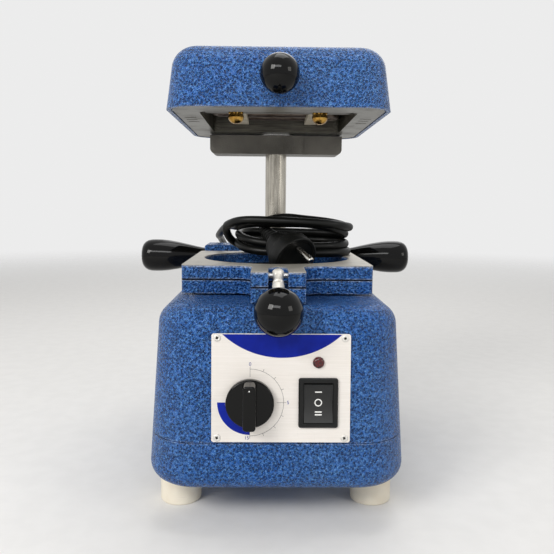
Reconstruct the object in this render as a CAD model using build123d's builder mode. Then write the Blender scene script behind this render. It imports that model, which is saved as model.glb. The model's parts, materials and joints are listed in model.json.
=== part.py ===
"""Vacuum former for dental sheets.

A cast housing, a sheet frame that slides on a post, and a heater that swings on the same post.

Millimetres. X runs across, Y runs back from the operator, Z runs up from the floor.
"""

import os
from math import cos, pi, radians, sin, tan

from build123d import *

# ---- driving dimensions ----
# Housing and base pan, measured at the seam where they meet
body_width = 171.0
body_front = 127.0  # the housing's front, from the opening's middle
body_behind_post = 37.0
body_corner = 32.0
wall_draft = 4.0  # degrees
wall = 4.0
pan_bottom = 28.0
seam_z = 61.0
housing_top = 149.0
top_round = 14.0
bottom_round = 12.0
seam_chamfer = 0.8

# Feet
foot_radius = 14.7
foot_inset_x = 16.0
foot_inset_y = 52.5
foot_screw_radius = 2.5
foot_screw_depth = 14.0

# Sheet frame: reaches are measured from the opening's middle
opening_radius = 59.0
side_rim = 10.0
rear_rim = 7.0
lower_plate = 10.0
upper_plate = 10.5
frame_corner = 3.0
frame_rise = 1.5  # running gap between the housing's top and the frame
tongue_width = 36.0
tongue_length = 43.0
tongue_blend = 12.0
slot_width = 13.2
slot_rim = 19.3

# Post, crosshead and handles
post_radius = 10.0
post_bite = 37.0
crosshead_inset = 2.0
crosshead_front_depth = 17.0
crosshead_rear_depth = 19.0
crosshead_height = 25.5
crosshead_seat = 6.0
bush_wall = 2.5
running = 0.05
handle_height = 13.8
handle_length = 61.0
handle_neck_radius = 7.5
handle_end_radius = 15.4
stud_radius = 4.0
stud_bite = 20.0

# Frame hinge and latch
hinge_offset = 5.0
hinge_space = 6.0
hinge_pin_radius = 2.5
ear_half = 20.0
lug_width = 14.0
side_play = 0.4
latch_inset = 12.0
latch_height = 6.7
latch_pin_radius = 2.0
latch_hub_radius = 5.0
latch_blade = 8.0
claw_radius = 12.5
claw_outer = 16.2
claw_play = 0.4
latch_swing = 70.0
ball_radius = 15.5
ball_run = 36.0
ball_drop = 18.6

# Heater head and its bracket
head_bottom = 279.5
head_height = 43.0
head_width = 158.0
head_front = 86.0
head_behind_post = 28.0
head_corner = 24.0
head_draft = 8.0
head_round = 16.0
head_wall = 3.0
side_flange = 22.0
recess_front = 58.0
recess_depth = 124.0
recess_corner = 6.0
head_ball_radius = 13.0
head_ball_reach = 98.0
head_ball_rise = 19.0
bracket_width = 124.0
bracket_skin = 2.0
bracket_back = 10.0
bracket_height = 17.1
bracket_step_x = 25.0
bracket_step = 3.0
washer_thickness = 1.0

# Control panel, placed by its middle on the sloping front wall
panel_width = 89.0
panel_height = 70.0
panel_thickness = 1.2
panel_x = 2.0
panel_rise = 36.5
panel_screw_inset = (3.6, 2.8)
timer_spot = (-19.8, -9.3)
lamp_spot = (24.0, 16.7)
rocker_spot = (23.9, -9.2)
knob_radius = 15.5
shaft_radius = 3.0
lamp_radius = 3.65
rocker_window = (19.0, 26.0)

# Vacuum group
table_gap = 3.0
table_thickness = 3.5
table_proud = 1.0
throat_lip = 6.0
motor_radius = 50.0
motor_lift = 20.0
motor_height = 60.0

# Rear wall
rear_rise = 19.0
gland_inset = 43.5
fuse_inset = 43.5
fuse_cap = 8.0
relief_length = 24.0
grille_size = (70.0, 42.0)
grille_rise = 49.0

# Mains lead, its coil and its plug
lead_radius = 3.5
coil_middle = (15.0, 30.0)
coil_half = (55.0, 31.0)
coil_height = 32.0
soft_gap = 0.3
plug_radius = 19.0
plug_face = (15.5, -22.0, 0.0)  # from the opening's middle, at the frame's top
plug_aim = (0.50, -0.75, -0.42)
pin_radius = 2.4
pin_length = 19.0
pin_spacing = 19.0

# ---- sizes that follow ----
frame_width = 2 * (opening_radius + side_rim)
frame_front = opening_radius + side_rim
frame_rear = opening_radius + rear_rim
tongue_reach = frame_front + tongue_length
slot_end = opening_radius + slot_rim
hinge_reach = frame_rear + hinge_offset
crosshead_front = hinge_reach + hinge_space
post_reach = crosshead_front + crosshead_front_depth
crosshead_rear = post_reach + crosshead_rear_depth
crosshead_width = frame_width - 2 * crosshead_inset
handle_end = crosshead_width / 2 + handle_length
latch_reach = tongue_reach - latch_inset
ball_reach = latch_reach + ball_run
head_rear = post_reach + head_behind_post
bracket_front = post_reach - post_radius - bracket_skin
bracket_rear = post_reach + post_radius + bracket_back
body_rear = post_reach + body_behind_post
body_depth = body_front + body_rear
body_offset = (body_rear - body_front) / 2
foot_x = body_width / 2 - foot_inset_x
foot_y = body_depth / 2 - foot_inset_y
gland_x = gland_inset - body_width / 2
fuse_x = body_width / 2 - fuse_inset
rear_z = seam_z + rear_rise
grille_z = seam_z + grille_rise
panel_z = seam_z + panel_rise

lean = tan(radians(wall_draft))
rear_wall_reach = body_rear - rear_rise * lean
opening_y = (ball_reach + ball_radius - rear_wall_reach - fuse_cap) / 2
body_y = opening_y + body_offset
post_y = opening_y + post_reach
frame_bottom = housing_top + frame_rise
split_z = frame_bottom + lower_plate
frame_top = split_z + upper_plate
crosshead_top = frame_bottom + crosshead_height
handle_z = frame_bottom + handle_height
hinge_y = opening_y + hinge_reach
hinge_z = split_z + upper_plate / 2
latch_y = opening_y - latch_reach
latch_z = split_z + latch_height
ball_y = latch_y - ball_run
ball_z = latch_z - ball_drop
post_foot = housing_top - post_bite
pan_floor = pan_bottom + wall
pan_height = seam_z - pan_bottom
pan_width = body_width + 2 * pan_height * lean
pan_depth = body_depth + 2 * pan_height * lean
motor_bottom = pan_floor + motor_lift
motor_top = motor_bottom + motor_height
head_middle = opening_y + (head_rear - head_front) / 2
head_depth = head_front + head_rear
head_ball_z = head_bottom + head_ball_rise
recess_width = head_width - 2 * side_flange
bracket_top = head_bottom - washer_thickness
bracket_bottom = bracket_top - bracket_height
bush_radius = post_radius + running + bush_wall
table_radius = opening_radius - table_gap
throat_radius = table_radius - throat_lip
panel_screw_x = panel_width / 2 - panel_screw_inset[0]
panel_screw_y = panel_height / 2 - panel_screw_inset[1]
coil_top = frame_top + coil_height
hub_headroom = 7.5
hub_cap = 10.0
hub_radius = post_radius + 6.0
hub_top = head_bottom + head_height - head_wall - hub_headroom
hub_step = hub_top - hub_cap
post_top = hub_step + 4.0

os.makedirs("parts", exist_ok=True)


def keep(builder, label):
    """Name a finished piece and write it."""
    builder.part.label = label
    export_step(builder.part, f"parts/{label}.step")


def level(z, x=0.0, y=0.0):
    """A plane facing up, at height z."""
    return Plane(origin=(x, y, z))


def facing_x(x, y, z):
    """A plane facing +X, with its own x axis along Y and its own y axis along Z."""
    return Plane(origin=(x, y, z), x_dir=(0, 1, 0), z_dir=(1, 0, 0))


def wall_plane(side, x, z):
    """The plane of the housing's outer wall at x and z: side -1 is the front, 1 the rear."""
    y = body_y + side * (body_depth / 2 - (z - seam_z) * lean)
    outward = (0, side * cos(radians(wall_draft)), sin(radians(wall_draft)))
    return Plane(origin=(x, y, z), x_dir=(-side, 0, 0), z_dir=outward)


def shifted(plane, x=0.0, y=0.0, z=0.0):
    """A plane moved along its own axes."""
    origin = plane.origin + plane.x_dir * x + plane.y_dir * y + plane.z_dir * z
    return Plane(origin=origin, x_dir=plane.x_dir, z_dir=plane.z_dir)


def drafted_block(base, width, depth, height, corner, draft, round_over, rounded_end=-1):
    """A rounded rectangle drawn up with draft, and its top (-1) or bottom (0) edges rounded."""
    with BuildPart() as block:
        with BuildSketch(base):
            RectangleRounded(width, depth, corner)
        extrude(amount=height, taper=draft)
        fillet(block.edges().group_by(Axis.Z)[rounded_end], round_over)
    return block.part


def disc(plane, radius, height):
    """A cylinder standing on a plane."""
    with BuildPart() as piece:
        with BuildSketch(plane):
            Circle(radius)
        extrude(amount=height)
    return piece.part


front = wall_plane(-1, panel_x, panel_z)
timer_plane = shifted(front, *timer_spot)
lamp_plane = shifted(front, *lamp_spot)
rocker_plane = shifted(front, *rocker_spot)
gland_plane = wall_plane(1, gland_x, rear_z)
fuse_plane = wall_plane(1, fuse_x, rear_z)
grille_plane = wall_plane(1, 0, grille_z)
panel_screws_at = [(x, y) for x in (-panel_screw_x, panel_screw_x) for y in (-panel_screw_y, panel_screw_y)]
foot_spots = [(x, body_y + y) for x in (-foot_x, foot_x) for y in (-foot_y, foot_y)]

# ---- housing and base ----
screw_radius = 1.5
shaft_hole = shaft_radius + 1.5
switch_cut = (rocker_window[0] + 3.0, rocker_window[1] + 2.0)
bezel_size = (switch_cut[0] + 3.3, switch_cut[1] + 4.0)
window_cut = (56.0, 30.0)
fuse_radius = 6.0
fuse_hole = fuse_radius + 0.2
post_hole = post_radius + 0.2
table_recess = table_radius + 0.3
table_screw_ring = (throat_radius + table_radius) / 2

cavity_start = 1.0  # the cavity's block starts this far under the seam, so that it cuts clean through it
housing_cavity = drafted_block(
    level(seam_z - cavity_start, 0, body_y),
    body_width - 2 * wall + 2 * cavity_start * lean,
    body_depth - 2 * wall + 2 * cavity_start * lean,
    housing_top - wall - seam_z + cavity_start,
    body_corner - wall,
    wall_draft,
    top_round - wall,
)
housing_block = drafted_block(
    level(seam_z, 0, body_y),
    body_width,
    body_depth,
    housing_top - seam_z,
    body_corner,
    wall_draft,
    top_round,
)
with BuildPart() as housing:
    add(housing_block)
    chamfer(housing.edges().group_by(Axis.Z)[0], seam_chamfer)
    add(housing_cavity, mode=Mode.SUBTRACT)
    with BuildSketch(level(housing_top, 0, opening_y)):
        Circle(throat_radius)
    extrude(amount=-2 * wall, mode=Mode.SUBTRACT)
    with BuildSketch(level(housing_top, 0, opening_y)):
        Circle(table_recess)
    extrude(amount=-(table_thickness - table_proud), mode=Mode.SUBTRACT)
    with BuildSketch(level(housing_top, 0, post_y)):
        Circle(post_hole)
    extrude(amount=-2 * wall, mode=Mode.SUBTRACT)
    with BuildSketch(timer_plane):
        Circle(shaft_hole)
    extrude(amount=-2 * wall, mode=Mode.SUBTRACT)
    with BuildSketch(lamp_plane):
        Circle(lamp_radius + 0.4)
    extrude(amount=-2 * wall, mode=Mode.SUBTRACT)
    with BuildSketch(rocker_plane):
        Rectangle(switch_cut[0] + 0.4, switch_cut[1] + 0.4)
    extrude(amount=-2 * wall, mode=Mode.SUBTRACT)
    with BuildSketch(front):
        with Locations(*panel_screws_at):
            Circle(screw_radius)
    extrude(amount=-2 * wall, mode=Mode.SUBTRACT)
    with BuildSketch(gland_plane, fuse_plane):
        Circle(fuse_hole)
    extrude(amount=-2 * wall, mode=Mode.SUBTRACT)
    with BuildSketch(grille_plane):
        Rectangle(*window_cut)
    extrude(amount=-2 * wall, mode=Mode.SUBTRACT)
keep(housing, "housing")

pan_block = drafted_block(
    level(pan_bottom, 0, body_y),
    pan_width,
    pan_depth,
    pan_height,
    body_corner + pan_height * lean,
    wall_draft,
    bottom_round,
    rounded_end=0,
)
pan_cavity = drafted_block(
    level(pan_floor, 0, body_y),
    pan_width - 2 * wall,
    pan_depth - 2 * wall,
    pan_height,
    body_corner + pan_height * lean - wall,
    wall_draft,
    bottom_round - wall,
    rounded_end=0,
)
with BuildPart() as base_pan:
    add(pan_block)
    add(pan_cavity, mode=Mode.SUBTRACT)
    with BuildSketch(level(pan_bottom)):
        with Locations(*foot_spots):
            Circle(foot_screw_radius)
    extrude(amount=wall, mode=Mode.SUBTRACT)
keep(base_pan, "base_pan")

foot_edge_round = 1.2
with BuildPart() as feet:
    with BuildSketch(level(0)):
        with Locations(*foot_spots):
            Circle(foot_radius)
    extrude(amount=pan_bottom)
    fillet(feet.edges().group_by(Axis.Z)[0], foot_edge_round)
    with BuildSketch(level(pan_bottom)):
        with Locations(*foot_spots):
            Circle(foot_screw_radius)
    extrude(amount=-foot_screw_depth - 0.5, mode=Mode.SUBTRACT)
keep(feet, "feet")

with BuildPart() as foot_screws:
    with BuildSketch(level(pan_bottom - foot_screw_depth)):
        with Locations(*foot_spots):
            Circle(foot_screw_radius)
    extrude(amount=foot_screw_depth + wall)
    with BuildSketch(level(pan_floor)):
        with Locations(*foot_spots):
            Circle(2 * foot_screw_radius)
    extrude(amount=3.0)
keep(foot_screws, "foot_screws")

# ---- vacuum table, plenum and motor ----
table_top = housing_top + table_proud
table_bottom = table_top - table_thickness
hole_pitch = 12.0
hole_radius = 1.6
table_screw_radius = 1.5
plenum_wall = 2.0
plenum_spout = 18.0
plenum_end = motor_top + 4.0
pan_legs = 60.0
plate_sheet = 3.0
with BuildPart() as vacuum_table:
    with BuildSketch(level(table_bottom, 0, opening_y)):
        Circle(table_radius)
        with GridLocations(hole_pitch, hole_pitch, 7, 7):
            Circle(hole_radius, mode=Mode.SUBTRACT)
        with PolarLocations(table_screw_ring, 4, start_angle=45):
            Circle(table_screw_radius, mode=Mode.SUBTRACT)
    extrude(amount=table_thickness)
keep(vacuum_table, "vacuum_table")

with BuildPart() as table_screws:
    with BuildSketch(level(table_bottom, 0, opening_y)):
        with PolarLocations(table_screw_ring, 4, start_angle=45):
            Circle(table_screw_radius)
    extrude(amount=table_thickness)
    with BuildSketch(level(table_top, 0, opening_y)):
        with PolarLocations(table_screw_ring, 4, start_angle=45):
            Circle(1.8 * table_screw_radius)
    extrude(amount=0.8)
keep(table_screws, "table_screws")

gasket_inner = opening_radius + 1.5
gasket_outer = gasket_inner + 5.5
with BuildPart() as table_gasket:
    with BuildSketch(level(housing_top, 0, opening_y)):
        Circle(gasket_outer)
        Circle(gasket_inner, mode=Mode.SUBTRACT)
    extrude(amount=frame_rise - soft_gap)
keep(table_gasket, "table_gasket")

plenum_rim = housing_top - wall
with BuildPart() as plenum:
    with BuildSketch(Plane.XZ.offset(-opening_y)):
        with BuildLine():
            Polyline(
                (plenum_spout, plenum_end),
                (plenum_spout + plenum_wall, plenum_end),
                (plenum_spout + plenum_wall, plenum_end + 4),
                (throat_radius + plenum_wall, plenum_rim - 6),
                (throat_radius + plenum_wall, plenum_rim - 2),
                (throat_radius + 3 * plenum_wall, plenum_rim - 2),
                (throat_radius + 3 * plenum_wall, plenum_rim),
                (throat_radius, plenum_rim),
                (throat_radius, plenum_rim - 5),
                (plenum_spout, plenum_end + 5),
                close=True,
            )
        make_face()
    revolve(axis=Axis((0, opening_y, 0), (0, 0, 1)))
keep(plenum, "plenum")

with BuildPart() as vacuum_motor:
    with BuildSketch(Plane.XZ.offset(-opening_y)):
        with BuildLine():
            Polyline(
                (0, motor_bottom),
                (0.6 * motor_radius, motor_bottom),
                (0.6 * motor_radius, motor_bottom + 26),
                (motor_radius, motor_bottom + 30),
                (motor_radius, motor_top - 2),
                (motor_radius - 2, motor_top),
                (plenum_spout + plenum_wall + 2, motor_top),
                (plenum_spout + plenum_wall + 2, plenum_end),
                (plenum_spout, plenum_end),
                (plenum_spout, motor_top - 6),
                (0, motor_top - 6),
                close=True,
            )
        make_face()
    revolve(axis=Axis((0, opening_y, 0), (0, 0, 1)))
keep(vacuum_motor, "vacuum_motor")

with BuildPart() as motor_plate:
    with BuildSketch(level(motor_bottom - plate_sheet, 0, opening_y)):
        RectangleRounded(2 * pan_legs, 84, 8)
    extrude(amount=plate_sheet)
    with BuildSketch(level(pan_floor, 0, opening_y)):
        with GridLocations(2 * pan_legs - 16, 68, 2, 2):
            Circle(5)
    extrude(amount=motor_lift - plate_sheet)
keep(motor_plate, "motor_plate")

terminal_size = (44.0, 18.0, 14.0)
with BuildPart() as terminal_block:
    with BuildSketch(level(pan_floor, 36, opening_y + 88)):
        Rectangle(terminal_size[0], terminal_size[1])
    extrude(amount=terminal_size[2])
    with BuildSketch(level(pan_floor + terminal_size[2], 36, opening_y + 88)):
        with GridLocations(8, 9, 5, 2):
            Circle(1.8)
    extrude(amount=-6, mode=Mode.SUBTRACT)
keep(terminal_block, "terminal_block")

# ---- control panel ----
with BuildPart() as control_panel:
    with BuildSketch(front):
        RectangleRounded(panel_width, panel_height, 1.5)
        with Locations(*panel_screws_at):
            Circle(screw_radius, mode=Mode.SUBTRACT)
        with Locations(timer_spot):
            Circle(shaft_hole, mode=Mode.SUBTRACT)
        with Locations(lamp_spot):
            Circle(lamp_radius + 0.1, mode=Mode.SUBTRACT)
        with Locations(rocker_spot):
            Rectangle(switch_cut[0] + 0.4, switch_cut[1] + 0.4, mode=Mode.SUBTRACT)
    extrude(amount=panel_thickness)
keep(control_panel, "control_panel")

with BuildPart() as panel_screws:
    with BuildSketch(shifted(front, z=-wall - 2)):
        with Locations(*panel_screws_at):
            Circle(screw_radius)
    extrude(amount=wall + 2 + panel_thickness)
    with BuildSketch(shifted(front, z=panel_thickness)):
        with Locations(*panel_screws_at):
            Circle(2.3)
    extrude(amount=1.1)
    chamfer(panel_screws.faces().group_by(Axis((0, 0, 0), tuple(front.z_dir)))[-1].edges(), 0.4)
keep(panel_screws, "panel_screws")

timer_box = (39.0, 39.0, 34.0)
shaft_seat = 12.0
with BuildPart() as timer_body:
    with BuildSketch(shifted(timer_plane, z=-wall)):
        RectangleRounded(timer_box[0], timer_box[1], 3)
    extrude(amount=-timer_box[2])
    with BuildSketch(shifted(timer_plane, z=-wall)):
        Circle(shaft_radius + running)
    extrude(amount=-shaft_seat, mode=Mode.SUBTRACT)
keep(timer_body, "timer_body")

knob_gap = 0.8
skirt_height = 4.5
grip_height = 17.0
grip_width = 9.5
shaft_bite = 8.0
knob_seat = shifted(timer_plane, z=panel_thickness + knob_gap)
with BuildPart() as knob_grip:
    with BuildSketch(shifted(knob_seat, z=skirt_height - 2)):
        RectangleRounded(grip_width, 2 * knob_radius - 1.5, 3)
    extrude(amount=grip_height - skirt_height + 2, taper=3)
    fillet(knob_grip.faces().sort_by(Axis((0, 0, 0), tuple(knob_seat.z_dir)))[-1].edges(), 1.0)
with BuildPart() as timer_knob:
    with BuildSketch(knob_seat):
        Circle(knob_radius)
    extrude(amount=skirt_height)
    fillet(timer_knob.faces().sort_by(Axis((0, 0, 0), tuple(knob_seat.z_dir)))[-1].edges(), 1.2)
    add(knob_grip.part)
    with BuildSketch(knob_seat):
        Circle(shaft_radius)
    extrude(amount=shaft_bite, mode=Mode.SUBTRACT)
keep(timer_knob, "timer_knob")

shaft_end = shifted(timer_plane, z=-wall - shaft_seat + 0.5)
with BuildPart() as timer_shaft:
    with BuildSketch(shaft_end):
        Circle(shaft_radius)
    extrude(amount=wall + shaft_seat - 0.5 + panel_thickness + knob_gap + shaft_bite)
keep(timer_shaft, "timer_shaft")

lens_depth = 2.0
lens_height = 2.2
with BuildPart() as lamp_lens:
    with BuildSketch(shifted(lamp_plane, z=-lens_depth)):
        Circle(lamp_radius)
    extrude(amount=lens_depth + panel_thickness + lens_height)
    fillet(lamp_lens.edges().sort_by(Axis((0, 0, 0), tuple(front.z_dir)))[-1], 1.9)
keep(lamp_lens, "lamp_lens")

with BuildPart() as lamp_body:
    with BuildSketch(shifted(lamp_plane, z=-lens_depth)):
        Circle(lamp_radius)
    extrude(amount=-22)
    with BuildSketch(shifted(lamp_plane, z=-wall)):
        Circle(lamp_radius + 2.5)
    extrude(amount=-4)
keep(lamp_body, "lamp_body")

bezel_height = 2.2
rocker_pivot = 1.5  # below the panel's face
trunnion_radius = 1.2
trunnion_length = 1.4
rocker_size = (rocker_window[0] - 0.6, rocker_window[1] - 1.6)
switch_face = shifted(rocker_plane, z=panel_thickness)
pivot_plane = Plane(
    origin=shifted(switch_face, z=-rocker_pivot).origin, x_dir=rocker_plane.y_dir, z_dir=rocker_plane.x_dir
)
with BuildPart() as switch_body:
    with BuildSketch(switch_face):
        RectangleRounded(bezel_size[0], bezel_size[1], 1.5)
    extrude(amount=bezel_height)
    chamfer(switch_body.faces().sort_by(Axis((0, 0, 0), tuple(front.z_dir)))[-1].edges(), 0.8)
    with BuildSketch(switch_face):
        Rectangle(*switch_cut)
    extrude(amount=-26)
    with BuildSketch(shifted(switch_face, z=bezel_height)):
        Rectangle(*rocker_window)
    extrude(amount=-bezel_height - 7, mode=Mode.SUBTRACT)
    with BuildSketch(pivot_plane):
        Circle(trunnion_radius + running)
    extrude(amount=rocker_window[0] / 2 + trunnion_length, both=True, mode=Mode.SUBTRACT)
keep(switch_body, "switch_body")

rocker_ridge = 5.2
rocker_dip = 2.6
rocker_root = 3.0
with BuildPart() as rocker:
    with BuildSketch(pivot_plane):
        with BuildLine():
            half = rocker_size[1] / 2
            Line((-half, -rocker_root), (-half, rocker_ridge))
            ThreePointArc((-half, rocker_ridge), (0, rocker_dip), (half, rocker_ridge))
            Line((half, rocker_ridge), (half, -rocker_root))
            Line((half, -rocker_root), (-half, -rocker_root))
        make_face()
    extrude(amount=rocker_size[0] / 2, both=True)
    with BuildSketch(pivot_plane):
        Circle(trunnion_radius)
    extrude(amount=rocker_window[0] / 2 + trunnion_length - 0.3, both=True)
keep(rocker, "rocker")

# ---- rear wall ----
with BuildPart() as exhaust_grille:
    with BuildSketch(grille_plane):
        RectangleRounded(grille_size[0], grille_size[1], 3)
        with GridLocations(0, 6, 1, 5):
            SlotOverall(52, 3, mode=Mode.SUBTRACT)
    extrude(amount=1.5)
    with BuildSketch(grille_plane):
        with GridLocations(grille_size[0] - 7, grille_size[1] - 7, 2, 2):
            Circle(1.8)
    extrude(amount=2.6)
keep(exhaust_grille, "exhaust_grille")

with BuildPart() as fuse_holder:
    with BuildSketch(fuse_plane):
        RegularPolygon(8.5, 8)
    extrude(amount=fuse_cap)
    with BuildSketch(fuse_plane):
        Circle(fuse_radius)
    extrude(amount=-30)
keep(fuse_holder, "fuse_holder")

with BuildPart() as strain_relief:
    with BuildSketch(gland_plane):
        Circle(fuse_radius)
    extrude(amount=-wall - 4)
    with BuildSketch(gland_plane):
        RegularPolygon(10.5, 6)
    extrude(amount=5)
    with BuildSketch(shifted(gland_plane, z=5)):
        Circle(7.5)
    with BuildSketch(shifted(gland_plane, z=relief_length)):
        Circle(lead_radius + 1.2)
    loft()
keep(strain_relief, "strain_relief")

# ---- post and what is fixed to it ----
flange_radius = post_radius + 7.0
flange_height = 7.0
nut_radius = post_radius + 7.5
nut_height = 12.0
washer_radius = post_radius + 6.0
with BuildPart() as post:
    with BuildSketch(level(post_foot, 0, post_y)):
        Circle(post_radius)
    extrude(amount=post_top - post_foot)
    chamfer(post.edges(), 1.0)
keep(post, "post")

with BuildPart() as post_flange:
    with BuildSketch(level(housing_top - wall, 0, post_y)):
        Circle(flange_radius)
        Circle(post_radius, mode=Mode.SUBTRACT)
    extrude(amount=-flange_height)
keep(post_flange, "post_flange")

with BuildPart() as post_nut:
    with BuildSketch(level(housing_top - wall - flange_height, 0, post_y)):
        RegularPolygon(nut_radius, 6)
        Circle(post_radius, mode=Mode.SUBTRACT)
    extrude(amount=-nut_height)
keep(post_nut, "post_nut")

with BuildPart() as rest_washer:
    with BuildSketch(level(housing_top, 0, post_y)):
        Circle(washer_radius)
        Circle(post_radius + running, mode=Mode.SUBTRACT)
    extrude(amount=frame_rise)
keep(rest_washer, "rest_washer")

bracket_depth = bracket_rear - bracket_front
bracket_corner = 5.0
with BuildPart() as head_bracket:
    with BuildSketch(Plane.XZ.offset(-(opening_y + bracket_rear))):
        with BuildLine():
            half = bracket_width / 2
            FilletPolyline(
                (-half, bracket_top),
                (-half, bracket_bottom),
                (half, bracket_bottom),
                (half, bracket_top),
                radius=bracket_corner,
            )
            Line((half, bracket_top), (-half, bracket_top))
        make_face()
    extrude(amount=bracket_depth)
    with BuildSketch(level(bracket_bottom, 0, opening_y + bracket_front)):
        with Locations(((bracket_step_x + half) / 2, 0)):
            Rectangle(half - bracket_step_x, 2 * bracket_step)
    extrude(amount=bracket_top - bracket_bottom, mode=Mode.SUBTRACT)
    with BuildSketch(level(bracket_bottom, 0, post_y)):
        Circle(post_radius)
    extrude(amount=bracket_top - bracket_bottom, mode=Mode.SUBTRACT)
keep(head_bracket, "head_bracket")

with BuildPart() as thrust_washer:
    with BuildSketch(level(bracket_top, 0, post_y)):
        Circle(flange_radius)
        Circle(post_radius, mode=Mode.SUBTRACT)
    extrude(amount=washer_thickness)
keep(thrust_washer, "thrust_washer")

retainer_sheet = 3.0
with BuildPart() as post_retainer:
    with BuildSketch(level(hub_step, 0, post_y)):
        Circle(post_radius + 3)
        Circle(post_radius, mode=Mode.SUBTRACT)
    extrude(amount=retainer_sheet)
keep(post_retainer, "post_retainer")

# ---- sheet frame ----
slot_depth = tongue_reach - slot_end
pin_half = tongue_width / 2 - 3


def frame_outline(rear):
    """The plan of a frame plate: a square with a round opening and a slotted tongue in front."""
    tip = -tongue_reach
    edge = -frame_front
    half_tongue = tongue_width / 2
    half_frame = frame_width / 2
    with BuildSketch() as outline:
        with BuildLine():
            FilletPolyline(
                (half_tongue, tip),
                (half_tongue, edge),
                (half_frame, edge),
                (half_frame, rear),
                (-half_frame, rear),
                (-half_frame, edge),
                (-half_tongue, edge),
                (-half_tongue, tip),
                radius=[tongue_blend, frame_corner, frame_corner, frame_corner, frame_corner, tongue_blend],
            )
            Line((-half_tongue, tip), (half_tongue, tip))
        make_face()
        Circle(opening_radius, mode=Mode.SUBTRACT)
        with Locations((0, -slot_end - slot_width / 2)):
            Circle(slot_width / 2, mode=Mode.SUBTRACT)
        with Locations((0, -slot_end - slot_width / 2 - slot_depth / 2)):
            Rectangle(slot_width, slot_depth, mode=Mode.SUBTRACT)
    return outline.sketch


lower_outline = frame_outline(crosshead_front - 1)
upper_outline = frame_outline(frame_rear)
strike_angle = 28.6  # degrees in front of straight down, seen from the latch pin
strike_y = latch_y - claw_radius * sin(radians(strike_angle))
strike_z = latch_z - claw_radius * cos(radians(strike_angle))
seat_top = frame_bottom + crosshead_seat

with BuildPart() as lower_frame:
    with BuildSketch(level(frame_bottom, 0, opening_y)):
        add(lower_outline)
    extrude(amount=lower_plate)
    with BuildSketch(level(frame_bottom, 0, opening_y + (crosshead_front + crosshead_rear) / 2 - 2)):
        Rectangle(crosshead_width, crosshead_rear - crosshead_front + 4)
    extrude(amount=crosshead_seat)
    with BuildSketch(level(frame_bottom, 0, post_y)):
        Circle(post_radius + 1)
    extrude(amount=crosshead_seat, mode=Mode.SUBTRACT)
    with BuildSketch(facing_x(0, strike_y, strike_z)):
        Circle(latch_pin_radius)
    extrude(amount=pin_half, both=True, mode=Mode.SUBTRACT)
keep(lower_frame, "lower_frame")

with BuildPart() as strike_pin:
    with BuildSketch(facing_x(0, strike_y, strike_z)):
        Circle(latch_pin_radius)
    extrude(amount=pin_half, both=True)
keep(strike_pin, "strike_pin")

lug_middle = ear_half + side_play + lug_width / 2
hinge_half = lug_middle + lug_width / 2
lug_radius = upper_plate / 2
cross_middle = opening_y + (crosshead_front + crosshead_rear) / 2
cross_depth = crosshead_rear - crosshead_front
with BuildPart() as crosshead:
    with BuildSketch(level(seat_top, 0, cross_middle)):
        Rectangle(crosshead_width, cross_depth)
    extrude(amount=crosshead_top - seat_top)
    fillet(crosshead.edges().group_by(Axis.Z)[-1], 2.5)
    with BuildSketch(level(split_z, 0, opening_y + (hinge_reach + crosshead_front + 2) / 2)):
        Rectangle(2 * ear_half, crosshead_front + 2 - hinge_reach)
    extrude(amount=upper_plate)
    with BuildSketch(facing_x(0, hinge_y, hinge_z)):
        Circle(lug_radius)
    extrude(amount=ear_half, both=True)
    with BuildSketch(facing_x(0, hinge_y, hinge_z)):
        Circle(hinge_pin_radius)
    extrude(amount=ear_half, both=True, mode=Mode.SUBTRACT)
    with BuildSketch(level(seat_top, 0, post_y)):
        Circle(bush_radius)
    extrude(amount=crosshead_top - seat_top, mode=Mode.SUBTRACT)
    with BuildSketch(facing_x(crosshead_width / 2, post_y, handle_z)):
        Circle(stud_radius)
    extrude(amount=-stud_bite, mode=Mode.SUBTRACT)
    with BuildSketch(facing_x(-crosshead_width / 2, post_y, handle_z)):
        Circle(stud_radius)
    extrude(amount=stud_bite, mode=Mode.SUBTRACT)
keep(crosshead, "crosshead")

with BuildPart() as crosshead_bush:
    with BuildSketch(level(seat_top, 0, post_y)):
        Circle(bush_radius)
        Circle(post_radius + running, mode=Mode.SUBTRACT)
    extrude(amount=crosshead_top - seat_top + 1.5)
keep(crosshead_bush, "crosshead_bush")

with BuildPart() as hinge_pin:
    with BuildSketch(facing_x(0, hinge_y, hinge_z)):
        Circle(hinge_pin_radius)
    extrude(amount=hinge_half, both=True)
keep(hinge_pin, "hinge_pin")

handle_start = crosshead_width / 2
handle_bore = 30.0
handle_profile = [
    (handle_start + 0.3, 0),
    (handle_start + 0.3, handle_neck_radius),
    (handle_start + 10, handle_neck_radius + 0.2),
    (handle_start + 34, handle_end_radius - 3.4),
    (handle_end - 8, handle_end_radius),
    (handle_end - 1.5, handle_end_radius - 3.5),
    (handle_end, 0),
]


def handle_body(side):
    """One club handle: a slim neck that swells to a rounded end, bored for its stud."""
    axis_plane = Plane(origin=(0, post_y, handle_z), x_dir=(side, 0, 0), z_dir=(0, -side, 0))
    with BuildPart() as body:
        with BuildSketch(axis_plane):
            with BuildLine():
                Line(handle_profile[0], handle_profile[1])
                Spline(*handle_profile[1:])
                Line(handle_profile[-1], handle_profile[0])
            make_face()
        revolve(axis=Axis((0, post_y, handle_z), (1, 0, 0)))
        with BuildSketch(Plane(origin=(side * handle_start, post_y, handle_z), z_dir=(side, 0, 0))):
            Circle(stud_radius)
        extrude(amount=handle_bore, mode=Mode.SUBTRACT)
    return body.part


left_handle = handle_body(-1)
right_handle = handle_body(1)
with BuildPart() as handles:
    add(left_handle)
    add(right_handle)
keep(handles, "handles")

with BuildPart() as handle_studs:
    for side in (-1, 1):
        with BuildSketch(facing_x(side * (handle_start - stud_bite), post_y, handle_z)):
            Circle(stud_radius)
        extrude(amount=side * (stud_bite + handle_bore - 1))
keep(handle_studs, "handle_studs")

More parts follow.
